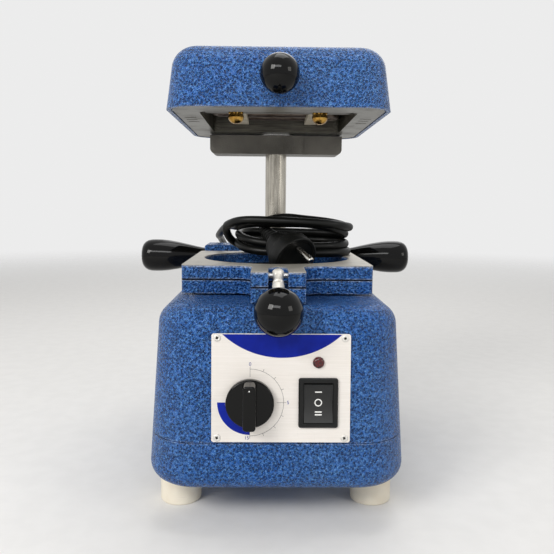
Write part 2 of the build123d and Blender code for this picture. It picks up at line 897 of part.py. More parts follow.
with BuildPart() as upper_frame:
    with BuildSketch(level(split_z, 0, opening_y)):
        add(upper_outline)
    extrude(amount=upper_plate)
    with BuildSketch(level(split_z, 0, opening_y + (frame_rear + hinge_reach) / 2 - 1)):
        with Locations((-lug_middle, 0), (lug_middle, 0)):
            Rectangle(lug_width, hinge_reach - frame_rear + 2)
    extrude(amount=upper_plate)
    for middle in (-lug_middle, lug_middle):
        with BuildSketch(facing_x(middle - lug_width / 2, hinge_y, hinge_z)):
            Circle(lug_radius)
        extrude(amount=lug_width)
    with BuildSketch(facing_x(0, hinge_y, hinge_z)):
        Circle(hinge_pin_radius + running)
    extrude(amount=hinge_half + 1, both=True, mode=Mode.SUBTRACT)
    with BuildSketch(level(split_z, 0, hinge_y)):
        Rectangle(2 * (ear_half + side_play), 2 * (lug_radius + side_play))
    extrude(amount=upper_plate, mode=Mode.SUBTRACT)
    with BuildSketch(facing_x(0, latch_y, latch_z)):
        Circle(latch_pin_radius)
    extrude(amount=pin_half, both=True, mode=Mode.SUBTRACT)
keep(upper_frame, "upper_frame")

with BuildPart() as latch_pin:
    with BuildSketch(facing_x(0, latch_y, latch_z)):
        Circle(latch_pin_radius)
    extrude(amount=pin_half, both=True)
keep(latch_pin, "latch_pin")

# ---- latch lever: its claw hangs behind the strike pin, and swings under it as the ball is lifted ----
cradle_angle = latch_swing - strike_angle  # degrees behind straight down, at rest
ball_distance = (ball_run**2 + ball_drop**2) ** 0.5
shank_way = (0, -ball_run / ball_distance, -ball_drop / ball_distance)
jaw_half = 15.0
web_far = 30.0


def claw_point(radius, angle):
    """A point of the claw's profile, at an angle behind straight down, in the plane facing +X."""
    return (radius * sin(radians(angle)), -radius * cos(radians(angle)))


web_near = cradle_angle + jaw_half
jaw_tip = cradle_angle - jaw_half
jaw_inner = claw_radius + latch_pin_radius + claw_play
with BuildPart() as latch_lever:
    with BuildSketch(facing_x(0, latch_y, latch_z)):
        Circle(latch_hub_radius)
        with BuildLine():
            Polyline(
                claw_point(0, 0),
                claw_point(jaw_inner, web_near),
                claw_point(jaw_inner, (web_near + jaw_tip) / 2),
                claw_point(jaw_inner, jaw_tip),
                claw_point(claw_outer, jaw_tip),
                claw_point(claw_outer, (web_near + jaw_tip) / 2),
                claw_point(claw_outer, web_near + 10),
                claw_point(0.6 * claw_outer, web_near + web_far),
                claw_point(0, 0),
            )
        make_face()
    extrude(amount=latch_blade / 2, both=True)
    with BuildSketch(
        Plane(origin=(0, latch_y, latch_z), x_dir=(1, 0, 0), z_dir=(0, -shank_way[2], shank_way[1]))
    ):
        with BuildLine():
            Polyline(
                (0, 0),
                (4.1, 0),
                (4.1, 6),
                (3.1, ball_distance - ball_radius - 5.5),
                (5.0, ball_distance - ball_radius - 5.0),
                (5.0, ball_distance - ball_radius - 1.2),
                (3.6, ball_distance - ball_radius - 0.6),
                (3.6, ball_distance - ball_radius + 9),
                (0, ball_distance - ball_radius + 9),
                (0, 0),
            )
        make_face()
    revolve(axis=Axis((0, latch_y, latch_z), shank_way))
    with BuildSketch(facing_x(0, latch_y, latch_z)):
        Circle(latch_pin_radius + running)
    extrude(amount=latch_blade, both=True, mode=Mode.SUBTRACT)
keep(latch_lever, "latch_lever")

bore_end = ball_distance - ball_radius + 9
ball_bore = disc(Plane(origin=(0, latch_y, latch_z), z_dir=shank_way), 3.6, bore_end)
with BuildPart() as latch_ball:
    with Locations((0, ball_y, ball_z)):
        Sphere(ball_radius)
    add(ball_bore, mode=Mode.SUBTRACT)
keep(latch_ball, "latch_ball")

# ---- heater head ----
head_block = drafted_block(
    level(head_bottom, 0, head_middle),
    head_width,
    head_depth,
    head_height,
    head_corner,
    head_draft,
    head_round,
)
head_cavity = drafted_block(
    level(head_bottom, 0, head_middle),
    head_width - 2 * head_wall,
    head_depth - 2 * head_wall,
    head_height - head_wall,
    head_corner - head_wall,
    head_draft,
    head_round - head_wall,
)
head_stud_radius = 3.0
knob_plane = Plane(origin=(0, opening_y - head_ball_reach, head_ball_z), x_dir=(1, 0, 0), z_dir=(0, 1, 0))
stud_end = head_ball_reach - head_front + 14
with BuildPart() as heater_shell:
    add(head_block)
    add(head_cavity, mode=Mode.SUBTRACT)
    with BuildSketch(knob_plane):
        Circle(head_stud_radius)
    extrude(amount=stud_end + 10, mode=Mode.SUBTRACT)
keep(heater_shell, "heater_shell")

with BuildPart() as head_knob_stud:
    with BuildSketch(knob_plane):
        Circle(head_stud_radius)
    extrude(amount=stud_end)
    with BuildSketch(shifted(knob_plane, z=stud_end - 4)):
        RegularPolygon(6.5, 6)
    extrude(amount=4)
keep(head_knob_stud, "head_knob_stud")

with BuildPart() as head_knob:
    with Locations((0, opening_y - head_ball_reach, head_ball_z)):
        Sphere(head_ball_radius)
    with BuildSketch(knob_plane):
        Circle(head_stud_radius)
    extrude(amount=2 * head_ball_radius, mode=Mode.SUBTRACT)
keep(head_knob, "head_knob")

liner_bottom = head_bottom + 0.3
liner_sheet = 2.0
hub_arm = (head_width - 2 * head_wall - 6.0, 34.0, 4.0)
with BuildPart() as head_hub:
    with BuildSketch(level(head_bottom, 0, post_y)):
        Circle(hub_radius)
    extrude(amount=hub_top - head_bottom)
    with BuildSketch(level(liner_bottom + liner_sheet, 0, post_y)):
        RectangleRounded(hub_arm[0], hub_arm[1], 6)
    extrude(amount=hub_arm[2])
    with BuildSketch(level(head_bottom, 0, post_y)):
        Circle(post_radius + running)
    extrude(amount=hub_step - head_bottom, mode=Mode.SUBTRACT)
    with BuildSketch(level(hub_step, 0, post_y)):
        Circle(post_radius + 4)
    extrude(amount=hub_top - hub_step - 2, mode=Mode.SUBTRACT)
keep(head_hub, "head_hub")

liner_gap = 1.8
recess_middle = opening_y - recess_front + recess_depth / 2
slit_x = (recess_width + side_flange) / 2 - 1
with BuildPart() as heater_liner:
    with BuildSketch(level(liner_bottom, 0, head_middle)):
        RectangleRounded(
            head_width - 2 * head_wall - liner_gap,
            head_depth - 2 * head_wall - liner_gap,
            head_corner - head_wall - liner_gap / 2,
        )
    extrude(amount=liner_sheet)
    with BuildSketch(level(liner_bottom, 0, recess_middle)):
        RectangleRounded(recess_width, recess_depth, recess_corner)
        for side in (-1, 1):
            with Locations((side * slit_x, -30), (side * slit_x, -18), (side * slit_x, -6)):
                SlotOverall(9, 2.4)
    extrude(amount=liner_sheet, mode=Mode.SUBTRACT)
    with BuildSketch(level(liner_bottom, 0, post_y)):
        Circle(hub_radius + 0.3)
    extrude(amount=liner_sheet, mode=Mode.SUBTRACT)
keep(heater_liner, "heater_liner")

tray_bottom = liner_bottom + liner_sheet
tray_height = 20.0
tray_sheet = 1.2
with BuildPart() as heater_tray:
    with BuildSketch(level(tray_bottom, 0, recess_middle)):
        RectangleRounded(
            recess_width + 2 * tray_sheet, recess_depth + 2 * tray_sheet, recess_corner + tray_sheet
        )
    extrude(amount=tray_height)
    with BuildSketch(level(tray_bottom, 0, recess_middle)):
        RectangleRounded(recess_width, recess_depth, recess_corner)
    extrude(amount=tray_height - tray_sheet, mode=Mode.SUBTRACT)
keep(heater_tray, "heater_tray")

element_radius = 3.25
element_z = tray_bottom + 10
run_count = 6
run_half = recess_width / 2 - 15.0
run_pitch = (recess_depth - 24.0) / (run_count - 1)
first_run = recess_middle - run_pitch * (run_count - 1) / 2
with BuildPart() as heating_element:
    with BuildLine() as element_path:
        for row in range(run_count):
            y = first_run + row * run_pitch
            Line((-run_half, y, element_z), (run_half, y, element_z))
            if row < run_count - 1:
                side = 1 if row % 2 == 0 else -1
                ThreePointArc(
                    (side * run_half, y, element_z),
                    (side * (run_half + run_pitch / 2), y + run_pitch / 2, element_z),
                    (side * run_half, y + run_pitch, element_z),
                )
    with BuildSketch(facing_x(-run_half, first_run, element_z)):
        Circle(element_radius)
    sweep()
keep(heating_element, "heating_element")

insulator_x = run_half - 12.0
insulator_size = (10.0, recess_depth - 8)
element_hole = element_radius + 0.1
insulator_bottom = element_z - element_radius - 2.5
with BuildPart() as element_insulators:
    with BuildSketch(level(insulator_bottom, 0, recess_middle)):
        with Locations((-insulator_x, 0), (insulator_x, 0)):
            Rectangle(*insulator_size)
    extrude(amount=tray_bottom + tray_height - tray_sheet - insulator_bottom)
    for row in range(run_count):
        with BuildSketch(facing_x(-run_half, first_run + row * run_pitch, element_z)):
            Circle(element_hole)
        extrude(amount=2 * run_half, mode=Mode.SUBTRACT)
keep(element_insulators, "element_insulators")

nut_x = insulator_x + 2.0
nut_y = opening_y - 27.0
strap_sheet = 1.5
strap_bottom = insulator_bottom - strap_sheet
brass_radius = 6.6
with BuildPart() as nut_strap:
    with BuildSketch(level(strap_bottom, 0, nut_y)):
        RectangleRounded(recess_width - 1, 24, 2)
        SlotOverall(23, 7, mode=Mode.SUBTRACT)
        with Locations((-nut_x, 0), (nut_x, 0)):
            Circle(3, mode=Mode.SUBTRACT)
    extrude(amount=strap_sheet)
keep(nut_strap, "nut_strap")

with BuildPart() as brass_nuts:
    with BuildSketch(level(strap_bottom, 0, nut_y)):
        with Locations((-nut_x, 0), (nut_x, 0)):
            RegularPolygon(brass_radius, 6)
    extrude(amount=-3)
    for x in (-nut_x, nut_x):
        with Locations((x, nut_y, strap_bottom - 3)):
            Sphere(0.82 * brass_radius, arc_size1=-90, arc_size2=0)
    with BuildSketch(level(strap_bottom, 0, nut_y)):
        with Locations((-nut_x, 0), (nut_x, 0)):
            Circle(3)
    extrude(amount=insulator_bottom - strap_bottom)
keep(brass_nuts, "brass_nuts")

# ---- mains lead, coil and plug ----
exit_point = gland_plane.origin + gland_plane.z_dir * relief_length
straight_out = gland_plane.origin + gland_plane.z_dir * (relief_length + 28)
lead_points = [
    tuple(exit_point),
    tuple(straight_out),
    (-43, opening_y + 202, 101),
    (-47, opening_y + 209, 129),
    (-53, opening_y + 201, 157),
    (-58, opening_y + 179, 178),
    (-59, opening_y + 150, 189.5),
    (-57, opening_y + 118, 192),
    (-52, opening_y + 87, 191),
    (-44, opening_y + 57, 192),
    (-30, opening_y + 32, 190),
]
split_run = 4  # the lead changes from one node to the next in the middle of this run


def corner_radii(points):
    """The arc at each corner: 0.45 of the shorter run, over the tangent of half the turn."""
    places = [Vector(*point) for point in points]
    radii = []
    for before, at, after in zip(places, places[1:], places[2:]):
        turn = (at - before).get_angle(after - at)
        radii.append(0.45 * min((at - before).length, (after - at).length) / tan(radians(turn / 2)))
    return radii


def middle(a, b):
    """The point half way between two."""
    return tuple((Vector(*a) + Vector(*b)) / 2)


def tube(points, radii):
    """A round tube along straight runs joined by tangent arcs."""
    with BuildPart() as piece:
        with BuildLine() as line:
            FilletPolyline(*points, radius=radii)
        route = line.wires()[0]
        way = Vector(*points[1]) - Vector(*points[0])
        with BuildSketch(Plane(origin=points[0], z_dir=way)):
            Circle(lead_radius)
        sweep(path=route)
    length = route.length
    area = pi * lead_radius**2
    print("arc radii", [round(radius, 1) for radius in radii])
    share = piece.part.volume / area / length
    print("length", round(length, 1), "volume over section x length", round(share, 4))
    return piece.part


joint_point = middle(lead_points[split_run], lead_points[split_run + 1])
lead_radii = corner_radii(lead_points)
lower_tube = tube(lead_points[: split_run + 1] + [joint_point], lead_radii[:split_run])
upper_tube = tube([joint_point] + lead_points[split_run + 1:], lead_radii[split_run:])
with BuildPart() as lead_lower:
    add(lower_tube)
keep(lead_lower, "lead_lower")


def coil_shape(margin):
    """The outer shape of the loose coil, an oval cushion, grown by a margin."""
    with BuildPart() as shape:
        with BuildSketch(level(frame_top + 0.5 - margin, coil_middle[0], opening_y + coil_middle[1])):
            Ellipse(coil_half[0] + margin, coil_half[1] + margin)
        extrude(amount=coil_top - frame_top - 0.5 + 2 * margin)
        fillet(shape.edges().group_by(Axis.Z)[-1], 9)
        fillet(shape.edges().group_by(Axis.Z)[0], 5)
    return shape.part


coil_solid = coil_shape(0)
coil_room = coil_shape(soft_gap)
with BuildPart() as cord_coil:
    add(coil_solid)
keep(cord_coil, "cord_coil")

with BuildPart() as lead_upper:
    add(upper_tube)
    add(coil_room, mode=Mode.SUBTRACT)
keep(lead_upper, "lead_upper")

plug_plane = Plane(
    origin=(plug_face[0], opening_y + plug_face[1], frame_top + plug_face[2]),
    x_dir=(1, 0.6, 0.12),
    z_dir=plug_aim,
)
plug_side = Plane(origin=plug_plane.origin, x_dir=plug_plane.x_dir, z_dir=plug_plane.y_dir)
with BuildPart() as plug:
    with BuildSketch(plug_side):
        with BuildLine():
            Polyline(
                (0, 0),
                (plug_radius, 0),
                (plug_radius, 12),
                (plug_radius - 6, 26),
                (8, 32),
                (5, 46),
                (0, 46),
                (0, 0),
            )
        make_face()
    revolve(axis=Axis(tuple(plug_plane.origin), tuple(plug_plane.z_dir)))
keep(plug, "plug")

with BuildPart() as plug_pins:
    with BuildSketch(plug_plane):
        with Locations((0, -pin_spacing / 2), (0, pin_spacing / 2)):
            Circle(pin_radius)
    extrude(amount=pin_length)
    fillet(plug_pins.faces().sort_by(Axis((0, 0, 0), plug_aim))[-2:].edges(), 1.2)
keep(plug_pins, "plug_pins")
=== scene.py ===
"""Dental vacuum former: finishes, printed panel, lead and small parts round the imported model.

Metres throughout, in the model's own frame: X across, Y back from the operator, Z up from the table.
"""

import json
import math

import bmesh
import bpy
from mathutils import Matrix, Vector
from mathutils.bvhtree import BVHTree


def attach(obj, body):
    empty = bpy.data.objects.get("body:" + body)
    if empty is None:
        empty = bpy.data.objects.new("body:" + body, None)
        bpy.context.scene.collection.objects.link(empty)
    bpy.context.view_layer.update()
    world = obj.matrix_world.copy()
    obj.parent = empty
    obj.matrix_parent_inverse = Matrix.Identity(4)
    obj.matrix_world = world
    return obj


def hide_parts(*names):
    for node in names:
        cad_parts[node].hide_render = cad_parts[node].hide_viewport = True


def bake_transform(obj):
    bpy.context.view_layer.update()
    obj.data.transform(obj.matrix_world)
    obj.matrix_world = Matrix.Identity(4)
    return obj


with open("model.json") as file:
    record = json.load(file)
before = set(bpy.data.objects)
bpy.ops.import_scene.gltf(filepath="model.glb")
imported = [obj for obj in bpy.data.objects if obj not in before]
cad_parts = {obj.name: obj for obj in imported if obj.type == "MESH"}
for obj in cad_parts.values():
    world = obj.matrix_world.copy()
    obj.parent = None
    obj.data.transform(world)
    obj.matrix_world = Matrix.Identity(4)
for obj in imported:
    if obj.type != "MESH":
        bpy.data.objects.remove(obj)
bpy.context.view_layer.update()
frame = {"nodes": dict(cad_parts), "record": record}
nodes = frame["nodes"]

MM = 0.001
scene = bpy.context.scene


def mm(*values):
    """A point given in millimetres, as a vector in metres."""
    return Vector(values) * MM


def add_object(name, data):
    """A new object, linked to the scene."""
    made = bpy.data.objects.new(name, data)
    scene.collection.objects.link(made)
    return made


def place_mesh(name, mesh, body):
    """A finished mesh becomes an object at the origin that rides on one body."""
    piece = add_object(name, mesh)
    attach(piece, body)
    return piece


def shade_smooth(mesh, angle):
    """Smooth shading with edges sharper than the angle kept sharp."""
    for face in mesh.polygons:
        face.use_smooth = True
    mesh.set_sharp_from_angle(angle=math.radians(angle))


def mesh_from(name, shape):
    """The mesh of a bmesh, which is used up."""
    mesh = bpy.data.meshes.new(name)
    shape.to_mesh(mesh)
    shape.free()
    return mesh


def shell_mesh(name, shape):
    """The mesh of a closed shape, with its faces turned outwards."""
    bmesh.ops.recalc_face_normals(shape, faces=shape.faces)
    return mesh_from(name, shape)


def joined_mesh(name, parts):
    """One mesh from several, which are used up."""
    whole = bmesh.new()
    for part in parts:
        whole.from_mesh(part)
        bpy.data.meshes.remove(part)
    return mesh_from(name, whole)


def evaluated_mesh(holder):
    """The plain mesh that an object's curve, text or modifiers come to."""
    bpy.context.view_layer.update()
    graph = bpy.context.evaluated_depsgraph_get()
    return bpy.data.meshes.new_from_object(holder.evaluated_get(graph))


def bridge(shape, ring, following):
    """Faces from one ring of corners to the next. Either ring may be a single point."""
    sides = max(len(ring), len(following))
    for step in range(sides):
        turn = (step + 1) % sides
        if len(ring) == 1:
            shape.faces.new((ring[0], following[step], following[turn]))
        elif len(following) == 1:
            shape.faces.new((ring[step], ring[turn], following[0]))
        else:
            shape.faces.new((ring[step], ring[turn], following[turn], following[step]))


def facing(x, y, z):
    """The turn that points a shape's own axes along three directions."""
    return Matrix((x, y, z)).transposed().to_4x4()


# ---------------------------------------------------------------- camera and lamps
FOCAL_PIXELS = 620.85
IMAGE_SIDE = 554.0
SENSOR = 36.0
CAMERA_PLACE = mm(-6.57, -504.81, 214.42)
CAMERA_PITCH = 0.1165
CAMERA_YAW = 0.0141
CAMERA_ROLL = 0.0084


def make_camera():
    """The camera, from its pitch down, its yaw towards +X and its roll."""
    pitch, yaw, roll = CAMERA_PITCH, CAMERA_YAW, CAMERA_ROLL
    forward = Vector(
        (math.sin(yaw) * math.cos(pitch), math.cos(yaw) * math.cos(pitch), -math.sin(pitch))
    )
    level_right = Vector((math.cos(yaw), -math.sin(yaw), 0))
    level_up = level_right.cross(forward)
    right = level_right * math.cos(roll) + level_up * math.sin(roll)
    up = level_up * math.cos(roll) - level_right * math.sin(roll)
    data = bpy.data.cameras.new("camera")
    data.sensor_width = SENSOR
    data.lens = FOCAL_PIXELS / IMAGE_SIDE * SENSOR
    data.clip_start = 0.01
    data.clip_end = 50.0
    camera = add_object("camera", data)
    camera.matrix_world = Matrix.Translation(CAMERA_PLACE) @ facing(right, up, -forward)
    scene.camera = camera


def area_lamp(name, place, side, power, tint):
    """A soft box that faces the middle of the object."""
    data = bpy.data.lights.new(name, "AREA")
    data.shape = "RECTANGLE"
    data.size, data.size_y = side
    data.energy = power
    data.color = tint
    lamp = add_object(name, data)
    lamp.location = place
    lamp.rotation_mode = "QUATERNION"
    lamp.rotation_quaternion = (Vector(LAMP_TARGET) - Vector(place)).to_track_quat("-Z", "Y")


# ---------------------------------------------------------------- node helpers
class Graph:
    """Puts nodes into one tree. A value that is a socket is linked, any other is set."""

    def __init__(self, tree):
        self.tree = tree
        tree.nodes.clear()

    def put(self, kind, inputs=None, **settings):
        node = self.tree.nodes.new(kind)
        for key, value in settings.items():
            setattr(node, key, value)
        for key, value in (inputs or {}).items():
            self.feed(node.inputs[key], value)
        return node

    def feed(self, socket, value):
        if isinstance(value, bpy.types.NodeSocket):
            self.tree.links.new(value, socket)
        else:
            socket.default_value = value

    def maths(self, operation, first, second=0.0, third=None):
        node = self.put("ShaderNodeMath", operation=operation)
        self.feed(node.inputs[0], first)
        self.feed(node.inputs[1], second)
        if third is not None:
            self.feed(node.inputs[2], third)
        return node.outputs[0]

    def vector(self, operation, first, second=(0, 0, 0)):
        node = self.put("ShaderNodeVectorMath", operation=operation)
        self.feed(node.inputs[0], first)
        self.feed(node.inputs[3 if operation == "SCALE" else 1], second)
        return node.outputs[0]

    def ramp_value(self, value, low, high, out_low=0.0, out_high=1.0):
        """A smooth step of a value from low to high."""
        node = self.put("ShaderNodeMapRange", interpolation_type="SMOOTHSTEP", clamp=True)
        self.feed(node.inputs["Value"], value)
        self.feed(node.inputs["From Min"], low)
        self.feed(node.inputs["From Max"], high)
        self.feed(node.inputs["To Min"], out_low)
        self.feed(node.inputs["To Max"], out_high)
        return node.outputs["Result"]

    def mix(self, factor, first, second, blend="MIX"):
        node = self.put("ShaderNodeMix", data_type="RGBA", blend_type=blend)
        self.feed(node.inputs["Factor"], factor)
        self.feed(node.inputs["A"], first)
        self.feed(node.inputs["B"], second)
        return node.outputs["Result"]

    def mix_value(self, factor, first, second):
        """A blend of two values."""
        node = self.put("ShaderNodeMix", data_type="FLOAT")
        self.feed(node.inputs[0], factor)
        self.feed(node.inputs[2], first)
        self.feed(node.inputs[3], second)
        return node.outputs[0]

    def noise(self, vector, scale, detail=2.0, roughness=0.5, distortion=0.0, output="Fac"):
        node = self.put(
            "ShaderNodeTexNoise",
            {
                "Vector": vector,
                "Scale": scale,
                "Detail": detail,
                "Roughness": roughness,
                "Distortion": distortion,
            },
        )
        return node.outputs[output]


FLOAT, COLOUR, VECTOR = "NodeSocketFloat", "NodeSocketColor", "NodeSocketVector"
WHOLE, OBJECT, GEOMETRY = "NodeSocketInt", "NodeSocketObject", "NodeSocketGeometry"


def new_group(name, inputs, outputs, kind="ShaderNodeTree"):
    """An empty node group with named sockets: its graph, input sockets and output sockets."""
    tree = bpy.data.node_groups.new(name, kind)
    for label, sort, value in inputs:
        socket = tree.interface.new_socket(name=label, in_out="INPUT", socket_type=sort)
        if value is not None:
            socket.default_value = value
    for label, sort in outputs:
        tree.interface.new_socket(name=label, in_out="OUTPUT", socket_type=sort)
    graph = Graph(tree)
    start = graph.put("NodeGroupInput").outputs
    end = graph.put("NodeGroupOutput").inputs
    return graph, start, end


def hammered_group():
    """Hammered enamel: small dark pits between raised pebbles, with lighter flecks on the pebbles as
    painted highlights. Its lengths are shares of one cell.
    """
    graph, start, end = new_group(
        "hammered_enamel",
        [
            ("Vector", VECTOR, None),
            ("Cells", FLOAT, 430.0),
            ("Paint", COLOUR, (0.03, 0.1, 0.34, 1)),
            ("Pit", COLOUR, (0.008, 0.02, 0.11, 1)),
            ("Pit Size", FLOAT, 0.43),
        ],
        [("Color", COLOUR), ("Height", FLOAT), ("Roughness", FLOAT)],
    )
    place, cells = start["Vector"], start["Cells"]
    fine = graph.noise(place, graph.maths("MULTIPLY", cells, 1.6), 1.0, output="Color")
    push = graph.vector("SUBTRACT", fine, (0.5, 0.5, 0.5))
    reach = graph.maths("DIVIDE", 1.05, cells)
    warped = graph.vector("ADD", place, graph.vector("SCALE", push, reach))
    pebble = graph.put("ShaderNodeTexVoronoi", {"Vector": warped, "Scale": cells}).outputs["Distance"]
    patch = graph.noise(place, graph.maths("MULTIPLY", cells, 0.35), 2.0)
    size = graph.maths("MULTIPLY_ADD", patch, 0.30, -0.15)
    size = graph.maths("ADD", size, start["Pit Size"])
    pits = graph.ramp_value(pebble, size, graph.maths("MULTIPLY", size, 0.45))
    crinkle = graph.noise(warped, graph.maths("MULTIPLY", cells, 2.2), 2.0)
    height = graph.ramp_value(pebble, 0.10, 0.70)
    height = graph.maths("MULTIPLY_ADD", crinkle, 0.40, height)
    drift = graph.ramp_value(graph.noise(place, 11.0, 3.0, 0.6), 0.3, 0.75)
    lighter = graph.mix(0.30, start["Paint"], (0.08, 0.19, 0.42, 1))
    paint = graph.mix(drift, start["Paint"], lighter)
    # Lighter flecks on the pebbles: painted highlights standing in for bump-lit sparkle.
    painted_glints = graph.ramp_value(crinkle, 0.46, 0.70, 0.0, 0.6)
    paint = graph.mix(painted_glints, paint, (0.15, 0.37, 0.66, 1))
    colour = graph.mix(graph.maths("MULTIPLY", pits, 0.84), paint, start["Pit"])
    graph.feed(end["Color"], colour)
    graph.feed(end["Height"], height)
    graph.feed(end["Roughness"], graph.ramp_value(crinkle, 0.35, 0.75, 0.15, 0.27))
    return graph.tree


def wear_group():
    """Handling wear: fine scratches, smudges and settled dust, each as a mask."""
    graph, start, end = new_group(
        "handling_wear",
        [("Vector", VECTOR, None), ("Scale", FLOAT, 1.0)],
        [("Scratches", FLOAT), ("Smudges", FLOAT), ("Dust", FLOAT)],
    )
    place = graph.vector("SCALE", start["Vector"], start["Scale"])
    bend = graph.noise(place, 14.0, 2.0, output="Color")
    bent = graph.vector("ADD", place, graph.vector("SCALE", bend, 0.02))
    threads = []
    for stretch in ((900.0, 55.0, 70.0), (60.0, 800.0, 75.0), (65.0, 50.0, 850.0)):
        drawn = graph.vector("MULTIPLY", bent, stretch)
        lines = graph.noise(drawn, 1.0, 1.0)
        threads.append(graph.ramp_value(lines, 0.72, 0.80))
    scratches = graph.maths("MAXIMUM", threads[0], threads[1])
    scratches = graph.maths("MAXIMUM", scratches, threads[2])
    patches = graph.ramp_value(graph.noise(place, 22.0, 2.0), 0.45, 0.7)
    graph.feed(end["Scratches"], graph.maths("MULTIPLY", scratches, patches))
    smudges = graph.noise(place, 30.0, 4.0, 0.6, 0.8)
    graph.feed(end["Smudges"], graph.ramp_value(smudges, 0.38, 0.72))
    settled = graph.noise(place, 160.0, 3.0, 0.65)
    graph.feed(end["Dust"], graph.ramp_value(settled, 0.55, 0.8))
    return graph.tree


def edge_group():
    """A mask that is one along outside edges, where paint is thin or rubbed; the enamel also lightens it
    as a painted edge highlight.
    """
    graph, start, end = new_group(
        "thin_edges",
        [("Vector", VECTOR, None), ("Width", FLOAT, 0.0015), ("Breakup", FLOAT, 260.0)],
        [("Edges", FLOAT), ("Normal", VECTOR)],
    )
    rounded = graph.put("ShaderNodeBevel", {"Radius": start["Width"]}, samples=4)
    flat = graph.put("ShaderNodeNewGeometry")
    turned = graph.put("ShaderNodeVectorMath", operation="DOT_PRODUCT")
    graph.feed(turned.inputs[0], rounded.outputs[0])
    graph.feed(turned.inputs[1], flat.outputs["Normal"])
    bent = graph.ramp_value(turned.outputs["Value"], 0.995, 0.86)
    chips = graph.ramp_value(graph.noise(start["Vector"], start["Breakup"]), 0.3, 0.62)
    graph.feed(end["Edges"], graph.maths("MULTIPLY", bent, chips))
    graph.feed(end["Normal"], rounded.outputs[0])
    return graph.tree


def grain_group():
    """Fine moulded or cast grain, with a slow mottle in its tone."""
    graph, start, end = new_group(
        "fine_grain",
        [
            ("Vector", VECTOR, None),
            ("Scale", FLOAT, 1500.0),
            ("Tone", COLOUR, (0.5, 0.5, 0.5, 1)),
            ("Shade", COLOUR, (0.4, 0.4, 0.4, 1)),
        ],
        [("Color", COLOUR), ("Height", FLOAT), ("Mottle", FLOAT)],
    )
    fine = graph.noise(start["Vector"], start["Scale"], 3.0, 0.6)
    slow = graph.noise(start["Vector"], graph.maths("MULTIPLY", start["Scale"], 0.03), 3.0, 0.6)
    mottle = graph.ramp_value(slow, 0.32, 0.70)
    tone = graph.mix(mottle, start["Tone"], start["Shade"])
    pores = graph.ramp_value(fine, 0.36, 0.24, 0.0, 0.5)
    graph.feed(end["Color"], graph.mix(pores, tone, start["Shade"]))
    graph.feed(end["Height"], fine)
    graph.feed(end["Mottle"], mottle)
    return graph.tree


def brushed_group():
    """Brushed or ground metal: streaks drawn out along one axis."""
    graph, start, end = new_group(
        "brushed_metal",
        [
            ("Vector", VECTOR, None),
            ("Stretch", VECTOR, (2000.0, 2000.0, 20.0)),
            ("Bright", COLOUR, (0.7, 0.7, 0.7, 1)),
            ("Dark", COLOUR, (0.5, 0.5, 0.5, 1)),
        ],
        [("Color", COLOUR), ("Height", FLOAT), ("Stain", FLOAT)],
    )
    drawn = graph.vector("MULTIPLY", start["Vector"], start["Stretch"])
    streaks = graph.noise(drawn, 1.0, 3.0, 0.65)
    stain = graph.ramp_value(graph.noise(start["Vector"], 45.0, 4.0, 0.6), 0.45, 0.75)
    tone = graph.mix(graph.ramp_value(streaks, 0.3, 0.72), start["Dark"], start["Bright"])
    graph.feed(end["Color"], graph.mix(graph.maths("MULTIPLY", stain, 0.35), tone, start["Dark"]))
    graph.feed(end["Height"], streaks)
    graph.feed(end["Stain"], stain)
    return graph.tree


HAMMERED = hammered_group()
WEAR = wear_group()
EDGES = edge_group()
GRAIN = grain_group()
BRUSHED = brushed_group()


class Finish(Graph):
    """One material: its graph, its Principled shader and Object coordinates."""

    def __init__(self, name, **constants):
        self.material = bpy.data.materials.new(name)
        self.material.use_nodes = True
        super().__init__(self.material.node_tree)
        self.shader = self.put("ShaderNodeBsdfPrincipled")
        out = self.put("ShaderNodeOutputMaterial")
        self.tree.links.new(self.shader.outputs[0], out.inputs["Surface"])
        self.place = self.put("ShaderNodeTexCoord").outputs["Object"]
        for key, value in constants.items():
            self.shader.inputs[key.replace("_", " ")].default_value = value

    def group(self, tree, **inputs):
        """A shared pattern, read at the material's own place."""
        node = self.put("ShaderNodeGroup", {"Vector": self.place, **inputs}, node_tree=tree)
        return node.outputs

    def bump(self, height, depth, normal=None):
        node = self.put("ShaderNodeBump", {"Height": height, "Distance": depth})
        if normal is not None:
            self.feed(node.inputs["Normal"], normal)
        self.feed(self.shader.inputs["Normal"], node.outputs[0])

    def set(self, **values):
        for key, value in values.items():
            self.feed(self.shader.inputs[key.replace("_", " ")], value)


def rgb(red, green, blue):
    """A display colour, 0 to 255, as a linear one."""

    def linear(value):
        value /= 255
        return value / 12.92 if value <= 0.04045 else ((value + 0.055) / 1.055) ** 2.4

    return (linear(red), linear(green), linear(blue), 1.0)


PAINT_BLUE = rgb(10, 78, 156)
PIT_NAVY = rgb(3, 18, 62)
ENAMEL_DEPTH = 0.0016
# Distances from the seam, and drops below the machined top, over which each mark comes in: the seam's
# painted shadow line and its lips' painted highlight, the machined top's bare line and the rubbed band,
# which is partly a painted highlight.
SEAM_GROOVE_SHADOW = (0.0007, 0.0003)
SEAM_LIP_HIGHLIGHT = (0.0016, 0.0008)
MACHINED_LINE = (0.0007, 0.0003)
MACHINED_RUB_HIGHLIGHT = (0.0022, 0.0010)


